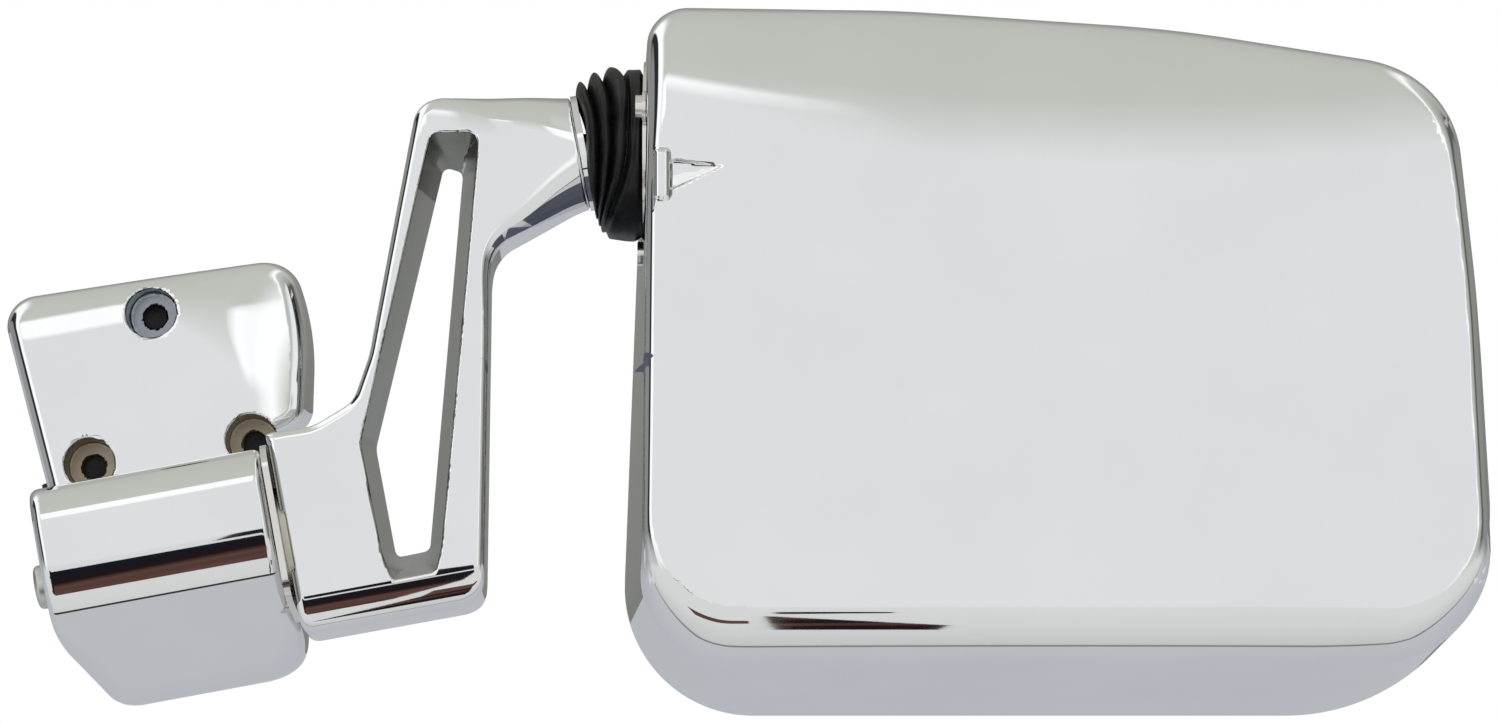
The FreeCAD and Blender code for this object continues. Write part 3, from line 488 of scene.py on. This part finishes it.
def base_field(u, y, w):
    """Plate with a rolled face and three screw recesses, and the pivot's boss across its foot."""
    depth = (BASE_BACK - y) / (BASE_BACK - PLATE_FACE)
    side = mixed(outline_field(PLATE_BACK, u, w), outline_field(PLATE_FRONT, u, w), depth)
    far = np.hypot(np.maximum(u - ROLL_U, 0), 0.95 * np.maximum(w - ROLL_W, 0))
    far = np.maximum(far - ROLL_FLAT, 0)
    roll = 0.36 * (np.hypot(far, ROLL_SOFT) - ROLL_SOFT) + 0.004 * np.maximum(w - 20, 0) ** 2
    plate = both(side, PLATE_FACE + roll - y, 3.4)
    fillet = 2.4 + 3 * ramped(w, -45, -60)
    boss = both(outline_field(BOSS_SIDE, y, w), outline_field(BOSS_FRONT, u, w), fillet)
    end = (u - BOSS_END[0]) * BOSS_END_WAY[0] + (y - BOSS_END[1]) * BOSS_END_WAY[1]
    boss = both(boss, end / math.hypot(*BOSS_END_WAY), 2.2)
    boss = np.maximum(boss, PARTING_R - np.hypot(y - PARTING[0], w - PARTING[1]))
    body = either(plate, boss, 1.6)
    for x, z in SCREWS:
        reach = np.hypot(u - x, w - z)
        sink = both(reach - SINK_R, np.maximum(PLATE_FACE - 1.2 - y, y - SINK_FLOOR), 0.4)
        body = both(body, -np.minimum(sink, reach - HOLE_R), 0.55)
    reach = np.hypot(y - PIVOT[0], w - PIVOT[1])
    body = both(body, -both(reach - HEAD_POCKET_R, u - HEAD_POCKET_U, 0.3), 0.5)
    spring = both(reach - SPRING_POCKET_R, SPRING_POCKET_U - u, 0.3)
    body = both(body, -np.minimum(spring, reach - BOLT_BORE_R), 0.5)
    return both(body, y - BASE_BACK, 0.5)


BASE_GRID = (
    spaced(-38, 39, 0.8, (-38, -31, 0.6), (-24, -16.5, 0.5), (-3, 4.5, 0.5), (16, 25, 0.5)),
    spaced(-50, 0, 1.0, (-43.8, -43.0, 0.13), (-17, -11, 0.6), (-3, -1, 0.4)),
    spaced(-73, 36, 1.1, (-50, -38, 0.8), (-47.4, -46.7, 0.13), (-23, -16, 0.65), (-16, -6, 0.5),
           (18, 27, 0.5), (27.5, 34, 0.7)))


def base_paint(points, normals):
    """0 chrome, 1 and 2 painted shade in the lower and upper recesses, 3 painted shade on the parting
    line.
    """
    kind = np.zeros(len(points), int)
    deep = points[:, 1] > PLATE_FACE + 0.9
    for number, (x, z) in enumerate(SCREWS):
        near = np.hypot(points[:, 0] - x, points[:, 2] - z) < SINK_R + 0.3
        # the recess walls get painted shade, the upper recess its own
        kind[near & deep] = 1 if number else 2
    # a painted dark line of shade along the parting groove
    kind[np.hypot(points[:, 1] - PARTING[0], points[:, 2] - PARTING[1]) < PARTING_R + 0.1] = 3
    return kind


# ------------------------------------------------------------------ arm

ARM_BACK_Y, ARM_FRONT_Y = -16.0, -48.0
NECK_START, NECK_END, NECK_R, NECK_W = 80.0, 109.0, 13.3, 39.0
CHIN_W, CHIN_FOOT, CHIN_LEAN, CHIN_R = -46.5, -63.4, math.radians(7.6), 22      # front of the lug's foot
SHOULDER_U, SHOULDER_W, SHOULDER_SLANT, SHOULDER_CURVE = 75, 45, 0.3, 0.016     # rolled top of the front
BORE_R, BORE_END, SEAT_R, SEAT_U = 5, 42, 13, 25.8      # the bolt's bore and the thrust washer's seat


def arm_corners(draft, wide):
    """Outline of lug, blade and neck; draft draws it in and wide moves its right side out."""
    return [(24.6, -12.6 - draft), (24.6, -63.2 + draft, 3), (67.0 + wide, -63.5 + draft, 7),
            (68.6 + wide, -57 + draft, 7), (82.2 + wide, 12.4, 20), (84.4 + wide, 19.5, 9),
            (NECK_END - 2, NECK_W - NECK_R, 30), (NECK_END + 30, NECK_W - NECK_R, 3),
            (NECK_END + 30, NECK_W + NECK_R, 3), (NECK_END, NECK_W + NECK_R, 60),
            (72.2 + draft, 57.6 - draft * 0.3, 7), (50.2 + draft, -0.6, 22),
            (44.6 + draft, -9.8 - draft * 0.5, 7), (36, -12.9 - draft, 12)]


ARM_BACK, ARM_FRONT = rounded_parts(arm_corners(0, 0)), rounded_parts(arm_corners(1.8, 0.8))
SLOT_FRONT = rounded_parts([(75.4, 48.6, 2.5), (45.9, -20.3, 8), (46.0, -55.2, 2.5), (59.6, -55.2, 3),
                            (87.0, 47.0, 3)])
SLOT_BACK = rounded_parts([(76.2, 44.0, 1.6), (48.3, -19.8, 6), (48.5, -46.2, 1.2), (56.5, -46.0, 1.6),
                           (80.3, 41.8, 1.6)])


def slot_field(u, y, w):
    """The long slot, which narrows towards the back; negative inside it."""
    depth = (ARM_BACK_Y - y) / (ARM_BACK_Y - ARM_FRONT_Y)
    return mixed(outline_field(SLOT_BACK, u, w), outline_field(SLOT_FRONT, u, w), depth)


def arm_field(u, y, w):
    """Lug and slotted blade, which thin out into a round neck."""
    depth = (ARM_BACK_Y - y) / (ARM_BACK_Y - ARM_FRONT_Y)
    side = mixed(outline_field(ARM_BACK, u, w), outline_field(ARM_FRONT, u, w), depth)
    start = SHOULDER_W - SHOULDER_SLANT * np.maximum(u - SHOULDER_U, 0)
    high = np.maximum(w - start, 0) * (1 - ramped(u, 88, 106))
    share = np.clip((u - NECK_START) / (NECK_END - NECK_START), 0, 1)
    slim = ((ARM_BACK_Y - ARM_FRONT_Y) / 2 - NECK_R) * share ** 2
    front = ARM_FRONT_Y + slim + SHOULDER_CURVE * high ** 2 - y
    leaning = (ARM_FRONT_Y - y) * math.cos(CHIN_LEAN) - (w - CHIN_W) * math.sin(CHIN_LEAN)
    front = both(both(front, leaning, CHIN_R), CHIN_FOOT - w, 10.6)
    body = both(side, front, mixed(2.2, NECK_R, share))
    body = both(body, y - ARM_BACK_Y + slim, mixed(1.2, NECK_R, share))
    body = both(body, u - NECK_END, 0.8)
    body = both(body, -slot_field(u, y, w), 0.6)
    reach = np.hypot(y - PIVOT[0], w - PIVOT[1])
    bore = np.minimum(np.maximum(reach - BORE_R, u - BORE_END), np.maximum(reach - SEAT_R, u - SEAT_U))
    return both(body, -bore, 0.4)


ARM_GRID = (
    spaced(23, 111, 0.65, (23, 27, 0.5), (106, 111, 0.5)),
    spaced(-50, -14, 0.95, (-50, -45, 0.55), (-18, -15, 0.55)),
    spaced(-64, 59, 0.95, (-64, -54, 0.6), (42, 58, 0.7)))


def arm_paint(points, normals):
    """0 chrome, 1 duller polish and painted shade on the slot's walls, 2 painted shade under its upper
    end.
    """
    u, y, w = points.T
    inside = (np.abs(slot_field(u, y, w)) < 0.3) & (np.abs(normals[:, 1]) < 0.6)
    # kind 1 paints shade on the slot's walls, kind 2 paints shade under its upper end
    return np.where(inside & (normals[:, 2] < -0.35) & (w > 36), 2, inside.astype(int))


# ------------------------------------------------------------------ rubber boot

# anchors along the boot, as (X, distance from the ball's axis): collar end, then crest and valley
# three times, then the wide lobe and the flange end
BOOT_TOP = [(98.9, 14.0), (99.9, 17.2), (101.6, 14.2), (103.3, 19.6), (105.2, 16.0), (107.1, 21.0),
            (109.7, 18.4), (111.6, 20.2), (114.2, 20.4), (115.15, 18.8)]
BOOT_FRONT = [(101.9, 14.0), (103.5, 17.2), (105.1, 14.4), (106.7, 19.0), (108.2, 16.0), (109.8, 19.8),
              (111.5, 18.0), (112.8, 19.5), (114.3, 20.1), (115.15, 18.9)]
BOOT_FOOT = [(103.7, 13.6), (104.0, 15.2), (104.3, 14.5), (104.6, 16.9), (104.9, 16.1), (105.3, 18.4),
             (105.9, 18.2), (107.0, 19.8), (112.8, 20.2), (115.15, 19.4)]
RIDGES = (1, 3, 5)
BOOT_ROWS, BOOT_TURNS, BOOT_WALL = (52, 22, 22), 168, 1.3
BOOT_LEAN = math.radians(6)         # lean of the two planes that part the boot
BOOT_JOINTS = ((101.7, 106.4, "arm", "front_seat"), (106.4, 108.8, "front_seat", "rear_seat"),
               (108.8, 112.4, "rear_seat", "head"))


def boot_point(s, angle):
    """A point of the boot's skin; s counts anchors from the collar, angle turns from +Y to +Z."""
    up, down = np.maximum(np.sin(angle), 0) ** 2, np.maximum(-np.sin(angle), 0) ** 2
    share = [up, 1 - up - down, down]
    anchors = np.array([BOOT_TOP, BOOT_FRONT, BOOT_FOOT])
    first = np.clip(np.floor(s).astype(int), 0, len(BOOT_TOP) - 2)
    t = np.clip(s - first, 0, 1)
    crest_next = np.isin(first + 1, RIDGES)
    crest_here = np.isin(first, RIDGES)
    bulge = np.where(crest_next, np.sin(t * math.pi / 2) ** 0.5, 1 - np.cos(t * math.pi / 2) ** 0.5)
    ease = np.where(crest_next | crest_here, bulge, t * t * (3 - 2 * t))
    x = sum(w * (anchors[k][first, 0] + (anchors[k][first + 1, 0] - anchors[k][first, 0]) * t)
            for k, w in enumerate(share))
    r = sum(w * (anchors[k][first, 1] + (anchors[k][first + 1, 1] - anchors[k][first, 1]) * ease)
            for k, w in enumerate(share))
    # the third crest wanders along the boot
    middle = np.exp(-((s - 5.2) / 1.3) ** 2)
    x = x + middle * 1.5 * np.sin(2 * angle) ** 2 * np.where(np.sin(angle) > 0, 1, -0.4)
    # the wide lobe has one dent and soft waves, and the whole skin is slightly uneven
    lobe = np.exp(-((s - 7.6) / 0.8) ** 2)
    r = r - lobe * (0.9 * np.exp(-((np.sin(angle - 2.6)) / 0.25) ** 2) * (np.cos(angle - 2.6) > 0)
                    + 0.25 * np.sin(5 * angle) + 0.12 * np.sin(11 * angle + 1))
    r = r * (1 + 0.006 * np.sin(4 * angle + s) + 0.004 * np.sin(9 * angle - 2 * s))
    return np.stack([x, BALL[1] + r * np.cos(angle), BALL[2] + r * np.sin(angle)], -1)


def boot_crossing(angle, place):
    """The s where the boot's skin first crosses a leaning plane."""
    s = np.linspace(0, len(BOOT_TOP) - 1, 600)
    points = boot_point(s[None, :] + 0 * angle[:, None], angle[:, None] + 0 * s[None, :])
    across = points[..., 0] * math.cos(BOOT_LEAN) + (points[..., 2] - BALL[2]) * math.sin(BOOT_LEAN)
    across = np.maximum.accumulate(across, 1)
    return np.array([np.interp(place, row, s) for row in across])


def make_boot():
    """Bellows in three lengths, one over each of the ball joint's three turns, none attached to a body."""
    turns = BOOT_TURNS
    angle = np.arange(turns) * 2 * math.pi / turns
    last = len(BOOT_TOP) - 1
    bounds = [0 * angle, boot_crossing(angle, BOOT_JOINTS[1][0]), boot_crossing(angle, BOOT_JOINTS[2][0]),
              0 * angle + last]
    for k, (start, end, one, two) in enumerate(BOOT_JOINTS):
        rows = BOOT_ROWS[k]
        share = np.linspace(0, 1, rows)[:, None]
        s = bounds[k] + (bounds[k + 1] - bounds[k]) * share
        a = angle[None, :] + 0 * s
        outer = boot_point(s, a)
        ds = boot_point(np.minimum(s + 0.01, last), a) - boot_point(np.maximum(s - 0.01, 0), a)
        da = boot_point(s, a + 0.01) - boot_point(s, a - 0.01)
        normal = np.cross(da, ds)
        normal /= np.linalg.norm(normal, axis=-1, keepdims=True)
        inward = np.stack([0 * a, np.cos(a), np.sin(a)], -1)
        inner = outer - inward * BOOT_WALL
        points = np.concatenate([outer.reshape(-1, 3), inner[::-1].reshape(-1, 3)])
        normals = np.concatenate([normal.reshape(-1, 3), -normal[::-1].reshape(-1, 3)])
        faces = []
        for i in range(2 * rows):
            j = (i + 1) % (2 * rows)
            for m in range(turns):
                n = (m + 1) % turns
                faces.append((i * turns + m, i * turns + n, j * turns + n, j * turns + m))
        piece = shell(f"boot_{k + 1}", None, ["rubber_boot"], points, faces, normals,
                      [MAT["rubber"]])
        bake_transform(piece)


# ------------------------------------------------------------------ gasket and pivot bolt

SHEET_HALF, SHEET_IN = 0.72, 0.35           # half the thickness, and how far its edge stays in
# the screw holes stop at the skin's back face, a dark sheet left as painted shade behind them
SHEET_HOLE_R, SHADE_SKIN_BACK = 3.1, -0.6
# radius, middle and half length along the axis
BOLT_HEAD, SHANK, NUT = (5.2, -33.5, 2.1), (3.9, 4.5, 37), (6.0, 38.6, 2.6)
SOCKET_HALF, SOCKET_FLOOR = 2.5, -33.0


def gasket_field(u, y, w):
    """Rubber sheet under the base, with a small button and a slim skin of painted shade in each screw
    hole.
    """
    side = np.minimum(outline_field(PLATE_BACK, u, w), outline_field(BOSS_FRONT, u, w) + 1.6) + SHEET_IN
    sheet = both(side, np.abs(y + SHEET_HALF) - SHEET_HALF, 0.25)
    for x, z in SCREWS:
        reach = np.hypot(u - x, w - z)
        # each hole is cut only in front of the skin, which closes it as painted shade
        sheet = both(sheet, -np.maximum(reach - SHEET_HOLE_R, SHADE_SKIN_BACK - y), 0.2)
        sheet = np.minimum(sheet, both(reach - 1.1, np.abs(y + 0.9) - 0.5, 0.3))
    return sheet


def bolt_part(reach, u, sizes, radius):
    """One length of the bolt, round or hexagonal as its reach is."""
    return both(reach - sizes[0], np.abs(u - sizes[1]) - sizes[2], radius)


def bolt_field(u, y, w):
    """Low bevelled head with a hexagon socket, shank and lock nut on the fold axis."""
    reach = np.hypot(y - PIVOT[0], w - PIVOT[1])
    turn = np.arctan2(w - PIVOT[1], y - PIVOT[0])
    hexagon = reach * np.cos((turn + math.pi / 6) % (math.pi / 3) - math.pi / 6)
    socket = np.maximum(hexagon - SOCKET_HALF, u - SOCKET_FLOOR)
    head = np.maximum(bolt_part(reach, u, BOLT_HEAD, 1.2), -socket)
    shank, nut = bolt_part(reach, u, SHANK, 0.5), bolt_part(hexagon, u, NUT, 0.5)
    return np.minimum(np.minimum(head, shank), nut)


GASKET_GRID = (spaced(-38, 39, 1.2, (-12, 14, 0.4), (-26, -16, 0.4)), spaced(-1.8, 0.3, 0.24),
               spaced(-73, 36, 1.2, (-17, -6, 0.4), (17, 28, 0.4)))
BOLT_GRID = (spaced(-36.5, 43, 0.8, (-36.5, -31, 0.3)), spaced(-37.5, -22.5, 0.35),
             spaced(-46.5, -31.5, 0.35))

cast("gasket", "base", ["base_gasket"], gasket_field, GASKET_GRID,
     [MAT["rubber"]], tilt=True)
cast("pivot_screw", "arm", ["pivot_bolt"], bolt_field, BOLT_GRID,
     [MAT["zinc_steel"]], tilt=True)
cast("base_casting", "base", ["mounting_base"], base_field, BASE_GRID,
     [MAT["chrome"], MAT["bare"], MAT["thin"], MAT["seam"]], tilt=True, paint=base_paint)
cast("arm_casting", "arm", ["mirror_arm"], arm_field, ARM_GRID,
     [MAT["chrome"], MAT["satin"], MAT["slot_top_painted_shade"]], tilt=True, paint=arm_paint)
make_boot()

# the CAD's own shapes get the materials of their slots
for part in NODES.values():
    slot_name = part.data.materials[0].name.split(".")[0]
    other = MAT["rubber" if "rubber" in slot_name else "chrome"]
    part.material_slots[0].material = MAT.get(slot_name, other)


# ------------------------------------------------------------------ camera and light

def make_camera():
    """1.3 m from the mirror's middle, in front and lower, looking up at it by six degrees."""
    data = bpy.data.cameras.new("camera")
    distance, seen = 1.3, 0.3525
    data.sensor_width = 36.0
    data.lens = data.sensor_width * distance / seen
    camera = bpy.data.objects.new("camera", data)
    scene.collection.objects.link(camera)
    rise = math.radians(6.0)
    forward = Vector((0, math.cos(rise), math.sin(rise)))
    aim = Vector((0.14033, -0.040, 0.00773))
    camera.location = aim - forward * distance
    camera.rotation_euler = forward.to_track_quat("-Z", "Y").to_euler()
    scene.camera = camera


def glow(name, colour_of):
    """A stage material that gives light; colour_of(tree) is its colour's socket."""
    material = bpy.data.materials.new(name)
    material.use_nodes = True
    tree = material.node_tree
    tree.nodes.remove(tree.nodes["Principled BSDF"])
    light = node(tree, "Emission", Strength=1.0)
    tree.links.new(colour_of(tree), light.inputs["Color"])
    tree.links.new(light.outputs[0], tree.nodes["Material Output"].inputs["Surface"])
    return material


def card(name, corners, material):
    """A studio card seen only in reflections."""
    mesh = bpy.data.meshes.new(name)
    mesh.from_pydata(corners, [], [(0, 1, 2, 3)])
    mesh.materials.append(material)
    board = bpy.data.objects.new(name, mesh)
    scene.collection.objects.link(board)
    board.visible_camera = board.visible_diffuse = board.visible_shadow = False
    board.visible_transmission = False


def split(tree, source, axis):
    """One axis of a vector."""
    made = tree.nodes.new("ShaderNodeSeparateXYZ")
    tree.links.new(source, made.inputs[0])
    return made.outputs[axis]


def mix(tree, share, one, two):
    """Colour one at share 0 and colour two at share 1."""
    made = tree.nodes.new("ShaderNodeMix")
    made.data_type = "RGBA"
    made.clamp_factor = True
    for name, value in (("Factor", share), ("A", one), ("B", two)):
        socket = next(s for s in made.inputs if s.name == name and s.enabled)
        if hasattr(value, "links"):
            tree.links.new(value, socket)
        else:
            socket.default_value = value if name == "Factor" else (*value, 1)
    return next(s for s in made.outputs if s.enabled)


def math_node(tree, kind, *values):
    """A sum, product or other operation on sockets and numbers."""
    made = tree.nodes.new("ShaderNodeMath")
    made.operation = kind
    for socket, value in zip(made.inputs, values):
        if hasattr(value, "links"):
            tree.links.new(value, socket)
        else:
            socket.default_value = value
    return made.outputs[0]


def spread(tree, source, low, high):
    """0 at low and 1 at high, and flat beyond both."""
    made = node(tree, "MapRange", From_Min=low, From_Max=high)
    tree.links.new(source, made.inputs["Value"])
    return made.outputs[0]


def band(tree, value, edge, soft):
    """0 to 1 over soft around an edge; a negative soft turns it round."""
    rise = math_node(tree, "DIVIDE", math_node(tree, "SUBTRACT", value, edge), soft)
    return spread(tree, rise, -0.5, 0.5)


GREY_GREEN, PALE = (0.66, 0.67, 0.62), (0.82, 0.825, 0.82)
WHITE, BRIGHT = (0.90, 0.905, 0.915), (1.25, 1.25, 1.25)
JOINT, DARK = (0.16, 0.16, 0.17), (0.03, 0.03, 0.03)


def dark_gap(tree):
    """The dim cards' colour: black and brown with a touch of blue, in long soft patches."""
    return ramp(tree, grain(tree, 2.2, 2), (0.38, (0.010, 0.012, 0.020)), (0.48, (0.020, 0.010, 0.010)),
                (0.56, (0.13, 0.065, 0.055)), (0.66, (0.05, 0.03, 0.03)))


def make_surroundings():
    """Cards that the chrome reflects.

    Dim ones low in front draw the dark stripes in the mirror's lower edges, a light one stands over
    the line at its lower left corner, and one lies under the arm's neck.
    """
    far, near = -0.5, -0.12
    for name, y, left, right, low, high in (
            ("dim_left", far, -0.17, 0.101, (-0.47, -0.47), (-0.17, -0.17)),
            ("dim_right", far, 0.1245, 0.205, (-0.88, -0.92), (-0.39, -0.72)),
            ("shelf_left", far, -0.002, 0.052, (-0.15, -0.15), (-0.115, -0.108)),
            ("shelf_middle", far, 0.052, 0.085, (-0.156, -0.150), (-0.082, -0.112)),
            ("shelf_right", far, 0.129, 0.175, (-0.335, -0.322), (-0.272, -0.286)),
            ("corner_line", near, 0.074, 0.137, (-0.138, -0.132), (-0.114, -0.118))):
        corners = [(left, y, low[0]), (right, y, low[1]), (right, y, high[1]), (left, y, high[0])]
        card(name, corners, glow(name, dark_gap))
    corners = [(0.078, near, -0.114), (0.137, near, -0.118), (0.137, near, -0.055), (0.078, near, -0.055)]
    light = glow("corner_light", lambda tree: ramp(tree, grain(tree, 3), (0.4, PALE), (0.6, PALE)))
    card("corner_light", corners, light)
    left, right, front, back, height = 0.083, 0.113, -0.075, -0.015, 0.008
    corners = [(left, front, height), (right, front, height), (right, back, height), (left, back, height)]
    dim = glow("under_neck", lambda tree: ramp(tree, grain(tree, 20, 2), (0.4, (0.06, 0.07, 0.10)),
                                               (0.6, (0.14, 0.15, 0.19))))
    card("under_neck", corners, dim)


def make_world():
    """White to the camera and to diffuse light.

    In reflections: a white wall in front with grey-green above it, a pale table below with a dark
    joint across it, and a dim room behind.
    """
    world = bpy.data.worlds.new("studio")
    scene.world = world
    world.use_nodes = True
    tree = world.node_tree
    place = tree.nodes.new("ShaderNodeTexCoord")
    x, y, z = (split(tree, place.outputs["Generated"], axis) for axis in "XYZ")
    angle = math_node(tree, "ARCTAN2", z, math_node(tree, "MULTIPLY", y, -1.0))
    turn = math_node(tree, "MULTIPLY_ADD", angle, 0.5 / math.pi, 0.5)

    def at(degrees):
        return degrees / 360 + 0.5

    below = [(at(-180), (0.50, 0.515, 0.545)), (at(-145), (0.56, 0.58, 0.62)),
             (at(-90.4), (0.62, 0.635, 0.66)), (at(-89.8), JOINT), (at(-87.6), JOINT),
             (at(-87), (0.66, 0.68, 0.67)), (at(-55), (0.80, 0.81, 0.80)),
             (at(-12), (0.84, 0.84, 0.84)), (at(-9), WHITE)]
    above = [(at(80), (0.63, 0.64, 0.59)), (at(112), (0.60, 0.61, 0.57)), (at(140), (0.36, 0.36, 0.34)),
             (at(179), (0.22, 0.225, 0.215))]
    crisp = ramp(tree, turn, *below, (at(31), WHITE), (at(33), GREY_GREEN), *above)
    soft = ramp(tree, turn, *below, (at(16), WHITE), (at(38), GREY_GREEN), *above)
    left_x, right_x = band(tree, x, 0.01, -0.04), band(tree, x, 0.24, 0.04)
    ends = math_node(tree, "MAXIMUM", left_x, right_x)
    round_x = mix(tree, ends, soft, crisp)
    side = ramp(tree, math_node(tree, "MULTIPLY_ADD", x, 0.5, 0.5), (0.0, (0.3, 0.3, 0.3)),
                (0.045, (0.3, 0.3, 0.3)), (0.055, DARK), (0.13, DARK), (0.15, BRIGHT), (0.26, BRIGHT),
                (0.32, WHITE), (0.64, WHITE), (0.67, BRIGHT), (0.70, BRIGHT), (0.73, GREY_GREEN),
                (0.86, (0.42, 0.43, 0.40)), (0.90, (0.13, 0.13, 0.13)), (0.94, (0.13, 0.13, 0.13)),
                (0.96, (0.3, 0.31, 0.29)), (1.0, (0.3, 0.31, 0.29)))
    sideways = spread(tree, math_node(tree, "ABSOLUTE", x), 0.28, 0.40)
    level = spread(tree, z, -0.30, -0.10)
    ahead = spread(tree, y, 0.45, 0.2)
    share = math_node(tree, "MULTIPLY", math_node(tree, "MULTIPLY", sideways, level), ahead)
    narrow = math_node(tree, "MULTIPLY", band(tree, x, -0.085, 0.05), band(tree, x, 0.15, -0.05))
    lower = math_node(tree, "MULTIPLY_ADD", narrow, 13 / 360, at(15.5))
    lamp = math_node(tree, "MULTIPLY", band(tree, turn, lower, 0.012), band(tree, turn, at(32), -0.006))
    lamp = math_node(tree, "MULTIPLY", lamp, ends)
    room = mix(tree, share, mix(tree, lamp, round_x, BRIGHT), side)
    path = tree.nodes.new("ShaderNodeLightPath")
    plain = math_node(tree, "MAXIMUM", path.outputs["Is Camera Ray"], path.outputs["Is Diffuse Ray"])
    seen = mix(tree, plain, room, (1.0, 1.0, 1.0))
    background = tree.nodes["Background"]
    tree.links.new(seen, background.inputs["Color"])
    background.inputs["Strength"].default_value = 1.0


def make_floor():
    """Plain pale floor under the mirror, left out of the chrome's reflections."""
    material, tree, shader = blank("floor", Roughness=0.7)
    tint = ramp(tree, grain(tree, 3, 5), (0.3, (0.80, 0.80, 0.79)), (0.7, (0.84, 0.84, 0.83)))
    tree.links.new(tint, shader.inputs["Base Color"])
    half, height = 3.0, -0.16
    corners = [(-half, -half, 0), (half, -half, 0), (half, half, 0), (-half, half, 0)]
    mesh = bpy.data.meshes.new("floor")
    mesh.from_pydata(corners, [], [(0, 1, 2, 3)])
    mesh.materials.append(material)
    floor = bpy.data.objects.new("floor", mesh)
    floor.location = (0, 0, height)
    scene.collection.objects.link(floor)
    floor.visible_glossy = False


make_camera()
make_surroundings()
make_world()
make_floor()
scene.view_settings.view_transform = "Standard"
